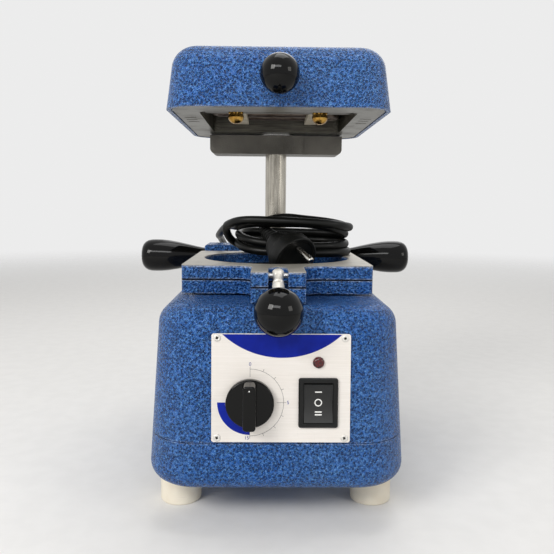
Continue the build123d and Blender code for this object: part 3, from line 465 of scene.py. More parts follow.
def enamel(name, machined_above=None, seam=None):
    """Blue hammered enamel: lighter at its edges, where paint is thin and as a painted edge highlight;
    bare above a machined height, with a lighter rubbed band below it that is partly a painted highlight;
    a painted shadow line in a parting seam, with a painted highlight on its lips.
    """
    finish = Finish(name, IOR=1.45, Specular_IOR_Level=0.4)
    coat = finish.group(HAMMERED, Cells=620.0, Paint=PAINT_BLUE, Pit=PIT_NAVY)
    wear = finish.group(WEAR, Scale=1.0)
    edges = finish.group(EDGES)
    # Lighter edges: partly thin, rubbed paint, partly a painted highlight along the rounded edges.
    thin_edge_and_highlight = finish.maths("MULTIPLY", edges["Edges"], 0.75)
    colour = finish.mix(thin_edge_and_highlight, coat["Color"], rgb(158, 176, 208))
    dusty = finish.maths("MULTIPLY", wear["Dust"], 0.05)
    colour = finish.mix(dusty, colour, rgb(170, 170, 175))
    rough = finish.maths("MULTIPLY_ADD", wear["Smudges"], 0.09, coat["Roughness"])
    height, metal = coat["Height"], 0.10
    rise = finish.put("ShaderNodeSeparateXYZ", {"Vector": finish.place}).outputs["Z"]
    if seam is not None:
        away = finish.maths("ABSOLUTE", finish.maths("SUBTRACT", rise, seam))
        # The seam's groove: a bump, and a near-black line painted on it as the shadow of the gap between
        # the frames.
        groove_and_shadow = finish.ramp_value(away, *SEAM_GROOVE_SHADOW)
        # The lips beside the seam are lightened in patches: partly wear, partly a painted highlight on
        # the rounded edges.
        lip_patches = finish.ramp_value(finish.noise(finish.place, 240.0, 2.0), 0.38, 0.56, 0.15, 0.75)
        lip_highlight = finish.maths("MULTIPLY", finish.ramp_value(away, *SEAM_LIP_HIGHLIGHT), lip_patches)
        colour = finish.mix(lip_highlight, colour, rgb(150, 170, 204))
        colour = finish.mix(groove_and_shadow, colour, rgb(8, 12, 30))
        height = finish.maths("MULTIPLY_ADD", groove_and_shadow, -2.0, height)
    if machined_above is not None:
        bare = finish.ramp_value(rise, *(machined_above - drop for drop in MACHINED_LINE))
        # A lighter band just below the machined top: partly rubbed paint, partly a painted highlight
        # along the top edge.
        rubbed = finish.ramp_value(rise, *(machined_above - drop for drop in MACHINED_RUB_HIGHLIGHT))
        patchy = finish.ramp_value(finish.noise(finish.place, 200.0, 2.0), 0.34, 0.54, 0.25, 0.9)
        rubbed = finish.maths("MULTIPLY", rubbed, patchy)
        colour = finish.mix(rubbed, colour, rgb(176, 190, 216))
        steel = finish.group(
            BRUSHED, Stretch=(60.0, 900.0, 900.0), Bright=rgb(196, 190, 178), Dark=rgb(158, 154, 146)
        )
        colour = finish.mix(bare, colour, steel["Color"])
        rough = finish.mix_value(bare, rough, 0.42)
        height = finish.mix_value(bare, height, 0.5)
        metal = finish.maths("MULTIPLY_ADD", bare, 0.55, metal)
    finish.set(Base_Color=colour, Roughness=rough, Metallic=metal)
    finish.bump(height, ENAMEL_DEPTH, edges["Normal"])
    return finish.material


def grained(
    name,
    tone,
    shade,
    scale,
    depth,
    roughness,
    spread=0.10,
    wear_scale=1.0,
    scratch_colour=None,
    **constants,
):
    """Moulded plastic, rubber or casting: fine grain, mottled tone, smudged roughness."""
    finish = Finish(name, **constants)
    grain = finish.group(GRAIN, Scale=scale, Tone=tone, Shade=shade)
    wear = finish.group(WEAR, Scale=wear_scale)
    colour = grain["Color"]
    if scratch_colour is not None:
        rubbed = finish.maths("MULTIPLY", wear["Scratches"], 0.5)
        colour = finish.mix(rubbed, colour, scratch_colour)
    varied = finish.maths("MULTIPLY_ADD", wear["Smudges"], spread, roughness)
    rough = finish.maths("MULTIPLY_ADD", wear["Scratches"], 0.12, varied)
    finish.set(Base_Color=colour, Roughness=rough)
    finish.bump(grain["Height"], depth)
    return finish.material


def metal(name, bright, dark, stretch, depth, roughness, spread=0.12, metallic=1.0, **constants):
    """Brushed, ground or plated metal with stains and fine scratches."""
    finish = Finish(name, Metallic=metallic, **constants)
    steel = finish.group(BRUSHED, Stretch=stretch, Bright=bright, Dark=dark)
    wear = finish.group(WEAR, Scale=1.4)
    stained = finish.maths("MULTIPLY_ADD", steel["Stain"], spread, roughness)
    rough = finish.maths("MULTIPLY_ADD", wear["Scratches"], 0.15, stained)
    finish.set(Base_Color=steel["Color"], Roughness=rough)
    finish.bump(steel["Height"], depth)
    return finish.material


FRAME_TOP = 0.171
FRAME_SPLIT = 0.1605
FINISHES = {
    "hammered_blue": enamel("hammered_blue_enamel"),
    "frame_blue": enamel("frame_enamel_machined_top", FRAME_TOP, FRAME_SPLIT),
    "lower_frame_blue": enamel("frame_enamel_lower", None, FRAME_SPLIT),
    "rocker_black": grained(
        "satin_rocker_moulding", rgb(17, 18, 18), rgb(11, 12, 12),
        scale=2200.0, depth=0.00003, roughness=0.55,
    ),
    "feet_cream": grained(
        "cream_foot_moulding", rgb(238, 231, 214), rgb(220, 209, 188),
        scale=900.0, depth=0.00006, roughness=0.42, scratch_colour=rgb(150, 138, 118),
    ),
    "zinc_steel": metal(
        "zinc_plate", rgb(205, 205, 204), rgb(165, 165, 166),
        stretch=(700.0, 700.0, 700.0), depth=0.00002, roughness=0.30,
    ),
    "post_steel": metal(
        "ground_post_steel", rgb(196, 191, 180), rgb(146, 141, 131),
        stretch=(500.0, 500.0, 28.0), depth=0.00001, roughness=0.26,
    ),
    "grey_casting": grained(
        "grey_bracket_casting", rgb(112, 109, 103), rgb(84, 82, 77),
        scale=700.0, depth=0.00025, roughness=0.45, Metallic=0.55, scratch_colour=rgb(160, 158, 152),
    ),
    "grey_sheet": metal(
        "folded_grey_sheet", rgb(124, 122, 113), rgb(86, 84, 78),
        stretch=(40.0, 700.0, 700.0), depth=0.00003, roughness=0.34,
    ),
    "seal_rubber": grained(
        "seal_rubber", rgb(44, 44, 45), rgb(34, 34, 35), scale=1600.0, depth=0.00006, roughness=0.62,
    ),
    "black_moulding": grained(
        "black_switch_moulding", rgb(15, 16, 16), rgb(9, 10, 10),
        scale=2200.0, depth=0.00003, roughness=0.34, scratch_colour=rgb(62, 62, 62),
        Specular_IOR_Level=0.28,
    ),
    "black_gloss": grained(
        "polished_black_phenolic", rgb(9, 9, 9), rgb(5, 5, 5),
        scale=240.0, depth=0.00001, roughness=0.04, spread=0.08, Specular_IOR_Level=0.2,
    ),
    "motor_steel": metal(
        "pressed_motor_casing", rgb(182, 182, 180), rgb(140, 140, 138),
        stretch=(300.0, 300.0, 60.0), depth=0.00003, roughness=0.38,
    ),
    "latch_chrome": metal(
        "satin_latch_plate", rgb(236, 236, 232), rgb(206, 206, 202),
        stretch=(420.0, 420.0, 60.0), depth=0.00001, roughness=0.26,
    ),
    "lever_white": metal(
        "satin_white_shank", rgb(238, 234, 226), rgb(214, 210, 200),
        stretch=(420.0, 420.0, 60.0), depth=0.00001, roughness=0.32, metallic=0.25,
    ),
    "polished_brass": metal(
        "polished_brass", rgb(190, 152, 78), rgb(146, 108, 48),
        stretch=(260.0, 260.0, 260.0), depth=0.00001, roughness=0.16,
    ),
    "bush_bronze": metal(
        "turned_bronze", rgb(206, 164, 92), rgb(160, 118, 56),
        stretch=(500.0, 500.0, 900.0), depth=0.00002, roughness=0.26,
    ),
    "element_steel": metal(
        "heat_stained_tube", rgb(118, 108, 100), rgb(74, 62, 56),
        stretch=(80.0, 600.0, 600.0), depth=0.00003, roughness=0.46,
    ),
    # The insulators' beige-grey is the ceramic darkened as painted shade, for the shadow under the head.
    "ceramic_white": grained(
        "unglazed_ceramic", rgb(186, 178, 160), rgb(158, 149, 130),
        scale=1300.0, depth=0.00008, roughness=0.60,
    ),
    "cord_black": grained(
        "black_cord_sheath", rgb(9, 10, 9), rgb(5, 6, 5),
        scale=900.0, depth=0.00003, roughness=0.36, spread=0.14, scratch_colour=rgb(50, 50, 48),
        Specular_IOR_Level=0.22,
    ),
    "pale_screw": metal(
        "pale_plated_screw", rgb(232, 230, 226), rgb(206, 203, 197),
        stretch=(900.0, 900.0, 900.0), depth=0.00001, roughness=0.40, metallic=0.5,
    ),
    "plug_black": grained(
        "matt_plug_rubber", rgb(11, 12, 11), rgb(7, 8, 7),
        scale=1500.0, depth=0.00004, roughness=0.42, spread=0.12, scratch_colour=rgb(60, 60, 58),
        Specular_IOR_Level=0.22,
    ),
    "pin_nickel": metal(
        "nickel_pins", rgb(226, 224, 218), rgb(190, 186, 178),
        stretch=(300.0, 300.0, 300.0), depth=0.00001, roughness=0.20,
    ),
}


PRINT_DEPTH = 0.00001
LENS_DEPTH = 0.00005


def panel_material():
    """The printed face: off-white ink on fine-brushed aluminium, slightly yellowed in patches."""
    finish = Finish("printed_panel_white", IOR=1.45)
    brushed = finish.group(
        BRUSHED, Stretch=(30.0, 1400.0, 1400.0), Bright=rgb(229, 224, 219), Dark=rgb(222, 217, 211)
    )
    wear = finish.group(WEAR, Scale=1.2)
    aged = finish.maths("MULTIPLY", wear["Smudges"], 0.10)
    colour = finish.mix(aged, brushed["Color"], rgb(214, 202, 184))
    marked = finish.maths("MULTIPLY", wear["Scratches"], 0.25)
    colour = finish.mix(marked, colour, rgb(190, 188, 184))
    finish.set(Base_Color=colour, Roughness=finish.maths("MULTIPLY_ADD", wear["Smudges"], 0.12, 0.34))
    finish.bump(brushed["Height"], PRINT_DEPTH)
    return finish.material


def ink_material(name, tone, shade):
    """Screen-printed ink: slightly uneven, with pinholes."""
    finish = Finish(name, IOR=1.45, Specular_IOR_Level=0.2)
    grain = finish.group(GRAIN, Scale=1800.0, Tone=tone, Shade=shade)
    rough = finish.maths("MULTIPLY_ADD", grain["Mottle"], 0.10, 0.30)
    finish.set(Base_Color=grain["Color"], Roughness=rough)
    finish.bump(grain["Height"], PRINT_DEPTH)
    return finish.material


def lens_material():
    """The lamp's dark red lens: clear moulding with faint facets below its skin, each lighter red in its
    middle as a painted glow.
    """
    finish = Finish("dark_red_lens", Coat_Weight=0.3, Coat_Roughness=0.05, IOR=1.45)
    facets = finish.put(
        "ShaderNodeTexVoronoi", {"Vector": finish.place, "Scale": 700.0}
    ).outputs["Distance"]
    # Lighter red in the facets' middles and darker towards their edges: painted glow through the lens.
    painted_facet_glow = finish.ramp_value(facets, 0.1, 0.7)
    colour = finish.mix(painted_facet_glow, rgb(98, 8, 12), rgb(44, 2, 5))
    finish.set(Base_Color=colour, Roughness=finish.ramp_value(facets, 0.0, 1.0, 0.12, 0.22))
    finish.bump(facets, LENS_DEPTH)
    return finish.material


FINISHES["panel_white"] = panel_material()
FINISHES["lamp_red"] = lens_material()
INK_BLUE = ink_material("royal_blue_ink", rgb(4, 32, 150), rgb(2, 24, 128))
INK_GREY = ink_material("grey_line_ink", rgb(96, 96, 100), rgb(70, 70, 74))
INK_WHITE = ink_material("white_mark_ink", rgb(236, 236, 234), rgb(214, 214, 212))

RECORD_SLOT = {part["node"]: part["material_slot"] for part in frame["record"]["subparts"]}
NODE_FINISH = RECORD_SLOT | {
    "upper_frame": "frame_blue",
    "lower_frame": "lower_frame_blue",
    "rocker": "rocker_black",
    "nut_strap": "grey_casting",
}


def dress_nodes():
    """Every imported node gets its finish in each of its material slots."""
    for name, node in nodes.items():
        finish = FINISHES[NODE_FINISH[name]]
        if not node.material_slots:
            node.data.materials.append(finish)
        for held in node.material_slots:
            held.material = finish


# ---------------------------------------------------------------- floor and light
TABLE_RADIUS = 2.8
TABLE_FADE = (0.9, 2.6)
ROOM_LIGHT = 0.42
BACKGROUND = 0.84
LAMP_TARGET = (0.0, 0.0, 0.17)
WHITE, WARM, WARMER = (1.0, 1.0, 1.0), (1.0, 0.98, 0.95), (1.0, 0.97, 0.92)
# Each lamp: its name, place, width and height, watts and tint.
LAMPS = (
    ("key_box", (-1.0, -1.15, 1.0), (0.6, 0.6), 14.0, WARM),
    ("brow_box", (-0.35, -1.45, 1.1), (1.1, 0.3), 8.0, WHITE),
    ("fill_box", (1.2, -0.9, 0.7), (0.5, 0.5), 3.2, WARMER),
    ("top_box", (0.1, 0.2, 1.6), (0.9, 0.9), 7.0, WHITE),
    ("rear_box", (0.3, 1.6, 1.2), (1.2, 1.2), 4.5, WHITE),
)


def floor_material():
    """A pale matt table that keeps the shadow, and fades into the background far away."""
    material = bpy.data.materials.new("pale_table")
    material.use_nodes = True
    graph = Graph(material.node_tree)
    place = graph.put("ShaderNodeTexCoord").outputs["Object"]
    shader = graph.put("ShaderNodeBsdfPrincipled", {"Roughness": 0.9, "Specular IOR Level": 0.15})
    speck = graph.noise(place, 60.0, 3.0)
    tone = graph.mix(graph.ramp_value(speck, 0.3, 0.7), rgb(231, 230, 228), rgb(228, 227, 225))
    graph.feed(shader.inputs["Base Color"], tone)
    clear = graph.put("ShaderNodeBsdfTransparent")
    reach = graph.vector("MULTIPLY", place, (1, 1, 0))
    length = graph.put("ShaderNodeVectorMath", operation="LENGTH")
    graph.feed(length.inputs[0], reach)
    fade = graph.ramp_value(length.outputs["Value"], *TABLE_FADE)
    join = graph.put("ShaderNodeMixShader")
    graph.feed(join.inputs[0], fade)
    graph.tree.links.new(shader.outputs[0], join.inputs[1])
    graph.tree.links.new(clear.outputs[0], join.inputs[2])
    out = graph.put("ShaderNodeOutputMaterial")
    graph.tree.links.new(join.outputs[0], out.inputs["Surface"])
    return material


def make_floor():
    """A round table top, wide enough for every view."""
    shape = bmesh.new()
    bmesh.ops.create_circle(shape, cap_ends=True, segments=96, radius=TABLE_RADIUS)
    mesh = mesh_from("table_top", shape)
    mesh.materials.append(floor_material())
    floor = add_object("table_top", mesh)


def make_world():
    """Pale background for what is seen directly, in gloss or through glass; softer light elsewhere."""
    world = bpy.data.worlds.new("studio")
    scene.world = world
    world.use_nodes = True
    graph = Graph(world.node_tree)
    path = graph.put("ShaderNodeLightPath").outputs
    seen = graph.maths("MAXIMUM", path["Is Camera Ray"], path["Is Glossy Ray"])
    seen = graph.maths("MAXIMUM", seen, path["Is Transmission Ray"])
    strength = graph.mix_value(seen, ROOM_LIGHT, BACKGROUND)
    sky = graph.put("ShaderNodeBackground", {"Color": (1, 1, 1, 1)})
    graph.feed(sky.inputs["Strength"], strength)
    out = graph.put("ShaderNodeOutputWorld")
    graph.tree.links.new(sky.outputs[0], out.inputs["Surface"])


scene.view_settings.view_transform = "Standard"
make_camera()
make_world()
make_floor()
for lamp_row in LAMPS:
    area_lamp(*lamp_row)


# ---------------------------------------------------------------- mains lead, coil and plug
LEAD_RADIUS = 3.5 * MM
LOWER_ROUTE = [
    (-42.0, 160.5, 81.7), (-42.0, 188.5, 83.6), (-43.0, 208.9, 101.0), (-47.0, 215.9, 129.0),
    (-53.0, 207.9, 157.0), (-55.5, 196.9, 167.5),
]
UPPER_ROUTE = [
    (-55.5, 196.9, 167.5), (-58.0, 184.9, 174.5), (-58.5, 156.9, 181.0), (-57.0, 124.9, 182.5),
    (-53.0, 99.9, 187.0), (-47.0, 77.9, 193.0), (-40.5, 57.9, 195.5),
]
PLUG_FACE = (15.5, -15.1, 171.0)
PLUG_AIM = Vector((0.50, -0.75, -0.42)).normalized()


def nurbs_path(name, points):
    """Points read along one smooth NURBS spline with the given control points."""
    curve = bpy.data.curves.new(name, "CURVE")
    curve.dimensions = "3D"
    spline = curve.splines.new("NURBS")
    spline.points.add(len(points) - 1)
    for point, place in zip(spline.points, points):
        point.co = (*mm(*place), 1.0)
    spline.order_u = 3
    spline.use_endpoint_u = True
    spline.resolution_u = 8
    holder = add_object(name, curve)
    mesh = evaluated_mesh(holder)
    path = [vertex.co.copy() for vertex in mesh.vertices]
    bpy.data.objects.remove(holder)
    bpy.data.meshes.remove(mesh)
    return path


def tube_mesh(name, path, radius, sides=20):
    """A closed round tube along a path."""
    shape = bmesh.new()
    tangent = (path[1] - path[0]).normalized()
    across = tangent.orthogonal().normalized()
    rings = []
    for index, place in enumerate(path):
        before = path[max(index - 1, 0)]
        after = path[min(index + 1, len(path) - 1)]
        heading = (after - before).normalized()
        across = (across - heading * across.dot(heading)).normalized()
        other = heading.cross(across)
        ring = []
        for step in range(sides):
            angle = 2 * math.pi * step / sides
            offset = across * math.cos(angle) + other * math.sin(angle)
            ring.append(shape.verts.new(place + offset * radius))
        rings.append(ring)
    for ring, following in zip(rings, rings[1:]):
        bridge(shape, ring, following)
    shape.faces.new(list(reversed(rings[0])))
    shape.faces.new(rings[-1])
    mesh = shell_mesh(name, shape)
    shade_smooth(mesh, 60)
    return mesh


# Each turn: its middle x and y, its half length and half width, then its height at eight places,
# from the left round by the front, the right and the back. The last row only leads into the tail.
TURNS = [
    (13.0, 44.0, 47.5, 28.5, (195.0, 198.8, 198.8, 192.0, 188.0, 188.5, 189.5, 190.0)),
    (14.0, 45.0, 47.0, 28.5, (188.0, 183.0, 179.2, 180.0, 181.3, 181.8, 182.6, 184.0)),
    (14.0, 45.0, 47.5, 29.5, (180.5, 175.5, 173.8, 174.0, 174.5, 174.8, 175.2, 178.5)),
    (10.0, 37.5, 54.0, 30.5, (195.5, 202.0, 200.0, 196.6, 194.8, 199.0, 203.0, 203.5)),
    (18.0, 33.5, 45.0, 28.5, (202.0,) * 8),
]
POINTS_A_TURN = 20
WOUND_POINTS = 75
FIRST_ANGLE = 190.0
SQUARENESS = 2.4
# The lead's tail, round the inside of the coil, ends this deep in the plug.
TAIL_DEPTH = 44.0
TAIL_MIDDLE = (16.6, 33.7)
TAIL_RADIUS = 28.5
TAIL_STEPS = (
    (102.0, 203.2), (122.0, 202.4), (142.0, 201.0), (161.0, 199.0), (179.0, 196.6), (197.0, 193.4),
)


def coil_points():
    """Control points of the loose turns, wound from the lead's left side forwards, right and back."""
    heights = [height for turn in TURNS for height in turn[4]]
    points = []
    for step in range(WOUND_POINTS):
        turn, part = divmod(step, POINTS_A_TURN)
        row, following = TURNS[turn], TURNS[turn + 1]
        share = part / POINTS_A_TURN
        middle_x, middle_y, half_x, half_y = [
            a + (b - a) * share for a, b in zip(row[:4], following[:4])
        ]
        angle = math.radians(FIRST_ANGLE + 360 * share)
        side, across = math.cos(angle), math.sin(angle)
        along = math.tanh(SQUARENESS * side) / math.tanh(SQUARENESS)
        stop, between = divmod(8 * step / POINTS_A_TURN, 1)
        low, high = heights[int(stop)], heights[int(stop) + 1]
        points.append(
            (
                middle_x + (half_x - half_y) * along + half_y * side,
                middle_y + half_y * across,
                low + (high - low) * between,
            )
        )
    return points


def plug_tail_points():
    """The last half turn, which swings round inside the coil and down into the back of the plug."""
    turn = [(math.radians(degrees), height) for degrees, height in TAIL_STEPS]
    points = [
        (
            TAIL_MIDDLE[0] + TAIL_RADIUS * math.cos(angle),
            TAIL_MIDDLE[1] + TAIL_RADIUS * math.sin(angle),
            height,
        )
        for angle, height in turn
    ]
    return points + [tuple(Vector(PLUG_FACE) - PLUG_AIM * TAIL_DEPTH)]


lower_path = nurbs_path("lower_route", LOWER_ROUTE)
upper_points = UPPER_ROUTE + coil_points() + plug_tail_points()
upper_path = nurbs_path("upper_route", upper_points)


def make_cords(plug, ribs):
    """The lead in two pieces: the rear run, and the run coiled on the frame that ends in the plug."""
    lower = add_object("mains_lead_rear", tube_mesh("mains_lead_rear", lower_path, LEAD_RADIUS))
    upper = add_object("mains_lead_coiled", tube_mesh("mains_lead_coiled", upper_path, LEAD_RADIUS))
    for piece in (lower, upper):
        piece.data.materials.append(FINISHES["cord_black"])
    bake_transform(lower)
    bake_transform(upper)
    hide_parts("lead_lower")
    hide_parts("lead_upper", "cord_coil")


# ---------------------------------------------------------------- printed face, dial and switch marks
PANEL_MIDDLE = mm(2.0, -118.731, 97.584)
ACROSS = Vector((1, 0, 0))
UP_PANEL = Vector((0, 0.069756, 0.997564))
OUT_OF_PANEL = Vector((0, -0.997564, 0.069756))
TIMER_SPOT = (-19.8, -9.3)
ROCKER_SPOT = (23.9, -9.2)
INK_LIFT = 0.06
MARK_LIFT = 0.07
PRINT_REACH = 40.0


def panel_spot(across, up):
    """A place on the panel's face, from mm across and up from its middle."""
    return PANEL_MIDDLE + (ACROSS * across + UP_PANEL * up) * MM


def panel_turn(across, up, lift):
    """The matrix that lays a flat shape on the panel at one spot, raised by a lift in mm."""
    spot = panel_spot(across, up) + OUT_OF_PANEL * lift * MM
    return Matrix.Translation(spot) @ facing(ACROSS, UP_PANEL, OUT_OF_PANEL)


def surface_of(node_name):
    """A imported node's surface, ready to lay print on."""
    data = nodes[node_name].data
    corners = [vertex.co for vertex in data.vertices]
    return BVHTree.FromPolygons(corners, [tuple(f.vertices) for f in data.polygons])


def lay_print(name, outlines, node_name, body, ink, lift=INK_LIFT):
    """Thin print on a node's front. Each outline is a closed row of panel places in mm."""
    surface = surface_of(node_name)
    shape = bmesh.new()
    for outline in outlines:
        corners = []
        for across, up in outline:
            above = panel_spot(across, up) + OUT_OF_PANEL * (PRINT_REACH * MM)
            hit = surface.ray_cast(above, -OUT_OF_PANEL)[0]
            corners.append(shape.verts.new(hit + OUT_OF_PANEL * lift * MM))
        shape.faces.new(corners)
    for face in shape.faces:
        face.normal_update()
        if face.normal.dot(OUT_OF_PANEL) < 0:
            face.normal_flip()
    mesh = mesh_from(name, shape)
    mesh.materials.append(ink)
    return place_mesh(name, mesh, body)


def arc_points(middle, radius, first, last, steps):
    """Points along an arc, in degrees from +X towards up."""
    x, y = middle
    angles = [math.radians(first + (last - first) * step / steps) for step in range(steps + 1)]
    return [(x + radius * math.cos(angle), y + radius * math.sin(angle)) for angle in angles]


def band_outlines(middle, inner, outer, first, last, steps):
    """A ring sector as a row of four-cornered outlines."""
    inside = arc_points(middle, inner, first, last, steps)
    outside = arc_points(middle, outer, first, last, steps)
    return [(inside[i], inside[i + 1], outside[i + 1], outside[i]) for i in range(steps)]


def bar_outline(middle, width, height):
    """A rectangle."""
    x, y = middle
    w, h = width / 2, height / 2
    return ((x - w, y - h), (x + w, y - h), (x + w, y + h), (x - w, y + h))


HEADER_MIDDLE = 0.6
HEADER_HALF = 38.3
HEADER_DROP = 15.0
HEADER_TOP = 34.6
HEADER_STRIPS = 64
LEAST_STRIP = 0.01
# The dial: its blue field, its arc, the short lines that lead in from the arc, its ticks and numbers.
DIAL_FIELD = (15.9, 21.0)
DIAL_LINE = 21.6
LINE_WIDTH = 0.2
UPRIGHT_LEAD = 5.2
LEVEL_LEAD = 4.4
TICKS = 9
TICK_LENGTH = 1.7
TICK_WIDTH = 0.22
DIGIT_HEIGHT = 2.2
CAPITAL_SHARE = 0.7
DIGITS = (("0", -19.8, 15.4), ("5", 4.6, -9.3), ("15", -21.8, -32.3))


def header_outlines():
    """The blue field along the top: a segment of a large circle, in narrow upright strips."""
    radius = (HEADER_HALF**2 + HEADER_DROP**2) / (2 * HEADER_DROP)
    lower = []
    for step in range(HEADER_STRIPS + 1):
        across = HEADER_HALF * (2 * step / HEADER_STRIPS - 1)
        drop = math.sqrt(radius**2 - across**2) - (radius - HEADER_DROP)
        lower.append((HEADER_MIDDLE + across, HEADER_TOP - max(drop, LEAST_STRIP)))
    return [
        (left, right, (right[0], HEADER_TOP), (left[0], HEADER_TOP))
        for left, right in zip(lower, lower[1:])
    ]


def lay_digits():
    """The dial's numbers, as flat text laid on the panel."""
    for text, across, up in DIGITS:
        curve = bpy.data.curves.new("dial_number_" + text, "FONT")
        curve.body = text
        curve.size = DIGIT_HEIGHT * MM / CAPITAL_SHARE
        curve.align_x = "CENTER"
        curve.align_y = "CENTER"
        holder = add_object(curve.name, curve)
        mesh = evaluated_mesh(holder)
        bpy.data.objects.remove(holder)
        mesh.transform(panel_turn(across, up, INK_LIFT))
        mesh.materials.clear()
        mesh.materials.append(INK_BLUE)
        place_mesh(mesh.name, mesh, "root")


def end_with_copies(graph, end, points, shape, turn, material):
    """Closes a tree: a turned copy of a shape at each point, made real, in one material."""
    copies = graph.put(
        "GeometryNodeInstanceOnPoints", {"Points": points, "Instance": shape, "Rotation": turn}
    )
    real = graph.put("GeometryNodeRealizeInstances", {"Geometry": copies.outputs["Instances"]})
    dressed = graph.put(
        "GeometryNodeSetMaterial", {"Geometry": real.outputs["Geometry"], "Material": material}
    )
    graph.feed(end["Geometry"], dressed.outputs["Geometry"])


def tick_tree():
    """Ticks round an arc: its radius, their size, the arc's angles and their count are its inputs."""
    graph, start, end = new_group(
        "dial_ticks",
        [
            ("Radius", FLOAT, DIAL_LINE * MM),
            ("Length", FLOAT, TICK_LENGTH * MM),
            ("Width", FLOAT, TICK_WIDTH * MM),
            ("First Angle", FLOAT, math.radians(90)),
            ("Step Angle", FLOAT, math.radians(-180 / (TICKS - 1))),
            ("Count", WHOLE, TICKS),
        ],
        [("Geometry", GEOMETRY)],
        "GeometryNodeTree",
    )
    points = graph.put("GeometryNodeMeshLine", {"Count": start["Count"]})
    number = graph.put("GeometryNodeInputIndex").outputs[0]
    angle = graph.maths("MULTIPLY_ADD", number, start["Step Angle"], start["First Angle"])
    middle = graph.maths("MULTIPLY_ADD", start["Length"], 0.5, start["Radius"])
    x = graph.maths("MULTIPLY", graph.maths("COSINE", angle), middle)
    y = graph.maths("MULTIPLY", graph.maths("SINE", angle), middle)
    spot = graph.put("ShaderNodeCombineXYZ", {"X": x, "Y": y}).outputs[0]
    placed = graph.put(
        "GeometryNodeSetPosition", {"Geometry": points.outputs["Mesh"], "Position": spot}
    )
    mark = graph.put(
        "GeometryNodeMeshGrid",
        {"Size X": start["Length"], "Size Y": start["Width"], "Vertices X": 2, "Vertices Y": 2},
    )
    turn = graph.put("ShaderNodeCombineXYZ", {"Z": angle}).outputs[0]
    shape = mark.outputs["Mesh"]
    end_with_copies(graph, end, placed.outputs["Geometry"], shape, turn, INK_GREY)
    return graph.tree


def grown_mesh(name, tree, values):
    """Runs a geometry tree on an empty mesh and returns its result as a plain mesh."""
    holder = add_object(name, bpy.data.meshes.new(name + "_seed"))
    grower = holder.modifiers.new(name, "NODES")
    grower.node_group = tree
    for item in tree.interface.items_tree:
        if item.in_out == "INPUT" and item.name in values:
            grower[item.identifier] = values[item.name]
    mesh = evaluated_mesh(holder)
    mesh.name = name
    holder.modifiers.remove(grower)
    bpy.data.objects.remove(holder)
    return mesh


def make_panel_print():
    """The blue fields, the dial's line, ticks and numbers."""
    lay_print("header_field", header_outlines(), "control_panel", "root", INK_BLUE)
    field = band_outlines(TIMER_SPOT, *DIAL_FIELD, 180, 270, 24)
    lay_print("dial_field", field, "control_panel", "root", INK_BLUE)
    half = LINE_WIDTH / 2
    line = band_outlines(TIMER_SPOT, DIAL_LINE - half, DIAL_LINE + half, 90, -90, 48)
    across, up = TIMER_SPOT
    upright, level = DIAL_LINE - UPRIGHT_LEAD / 2, DIAL_LINE - LEVEL_LEAD / 2
    line.append(bar_outline((across, up + upright), LINE_WIDTH, UPRIGHT_LEAD))
    line.append(bar_outline((across + level, up), LEVEL_LEAD, LINE_WIDTH))
    line.append(bar_outline((across, up - upright), LINE_WIDTH, UPRIGHT_LEAD))
    lay_print("dial_line", line, "control_panel", "root", INK_GREY)
    ticks = grown_mesh("dial_ticks", tick_tree(), {"Count": TICKS})
    ticks.transform(panel_turn(*TIMER_SPOT, INK_LIFT))
    place_mesh("dial_ticks", ticks, "root")
    lay_digits()


MARK_BAR = (4.4, 0.8)
BAR_HEIGHTS = (7.3, -5.6, -7.3)
MARK_RING = (1.75, 2.45)
RING_HEIGHT = 0.3
GRIP_DOT = (0.05, 0.42)
DOT_HEIGHT = 11.2


def make_switch_marks():
    """A bar, a ring and two bars on the rocker, and the dot on the timer knob's grip."""
    across, up = ROCKER_SPOT
    bars = [bar_outline((across, up + height), *MARK_BAR) for height in BAR_HEIGHTS]
    ring = band_outlines((across, up + RING_HEIGHT), *MARK_RING, 0, 360, 32)
    lay_print("rocker_marks", bars + ring, "rocker", "rocker", INK_WHITE, MARK_LIFT)
    across, up = TIMER_SPOT
    dot = band_outlines((across, up + DOT_HEIGHT), *GRIP_DOT, 0, 360, 20)
    lay_print("grip_dot", dot, "timer_knob", "timer_knob", INK_WHITE, MARK_LIFT)


# ---------------------------------------------------------------- panel screws
SCREW_SPAN = (81.8, 64.4)
SCREW_TURN = 3.0
SCREW_LIFT = 0.03
RECESS_RADIUS = 1.2
RECESS_FOOT = -0.5
RECESS_NECK = 0.62
SCREW_HEAD = (
    (0.0, -0.30), (1.00, -0.30), (1.12, 0.62), (1.30, 0.74), (1.75, 0.70), (2.12, 0.52),
    (2.34, 0.22), (2.36, 0.02), (2.36, -0.55), (0.0, -0.55),
)
# A black disc at the bottom of each cross recess: painted shade in the recess.
RECESS_SHADE_DISC = ((0.0, -0.22), (1.02, -0.22), (1.02, -0.28), (0.0, -0.28))


def lathe_mesh(name, profile, sides, dent=None):
    """A closed shape turned about Z from (radius, height) pairs in mm, with an optional dent."""
    shape = bmesh.new()
    rings = []
    for radius, height in profile:
        if radius == 0:
            rings.append([shape.verts.new((0, 0, height * MM))])
            continue
        ring = []
        for step in range(sides):
            angle = 2 * math.pi * step / sides
            reach = radius * (dent(angle, radius, height) if dent else 1.0) * MM
            spot = (reach * math.cos(angle), reach * math.sin(angle), height * MM)
            ring.append(shape.verts.new(spot))
        rings.append(ring)
    for ring, following in zip(rings, rings[1:]):
        bridge(shape, ring, following)
    return shell_mesh(name, shape)


def cross_recess(angle, radius, height):
    """Pulls the recess's wall in between four arms."""
    if radius > RECESS_RADIUS or height < RECESS_FOOT:
        return 1.0
    return RECESS_NECK + (1 - RECESS_NECK) * abs(math.cos(2 * angle)) ** 1.5


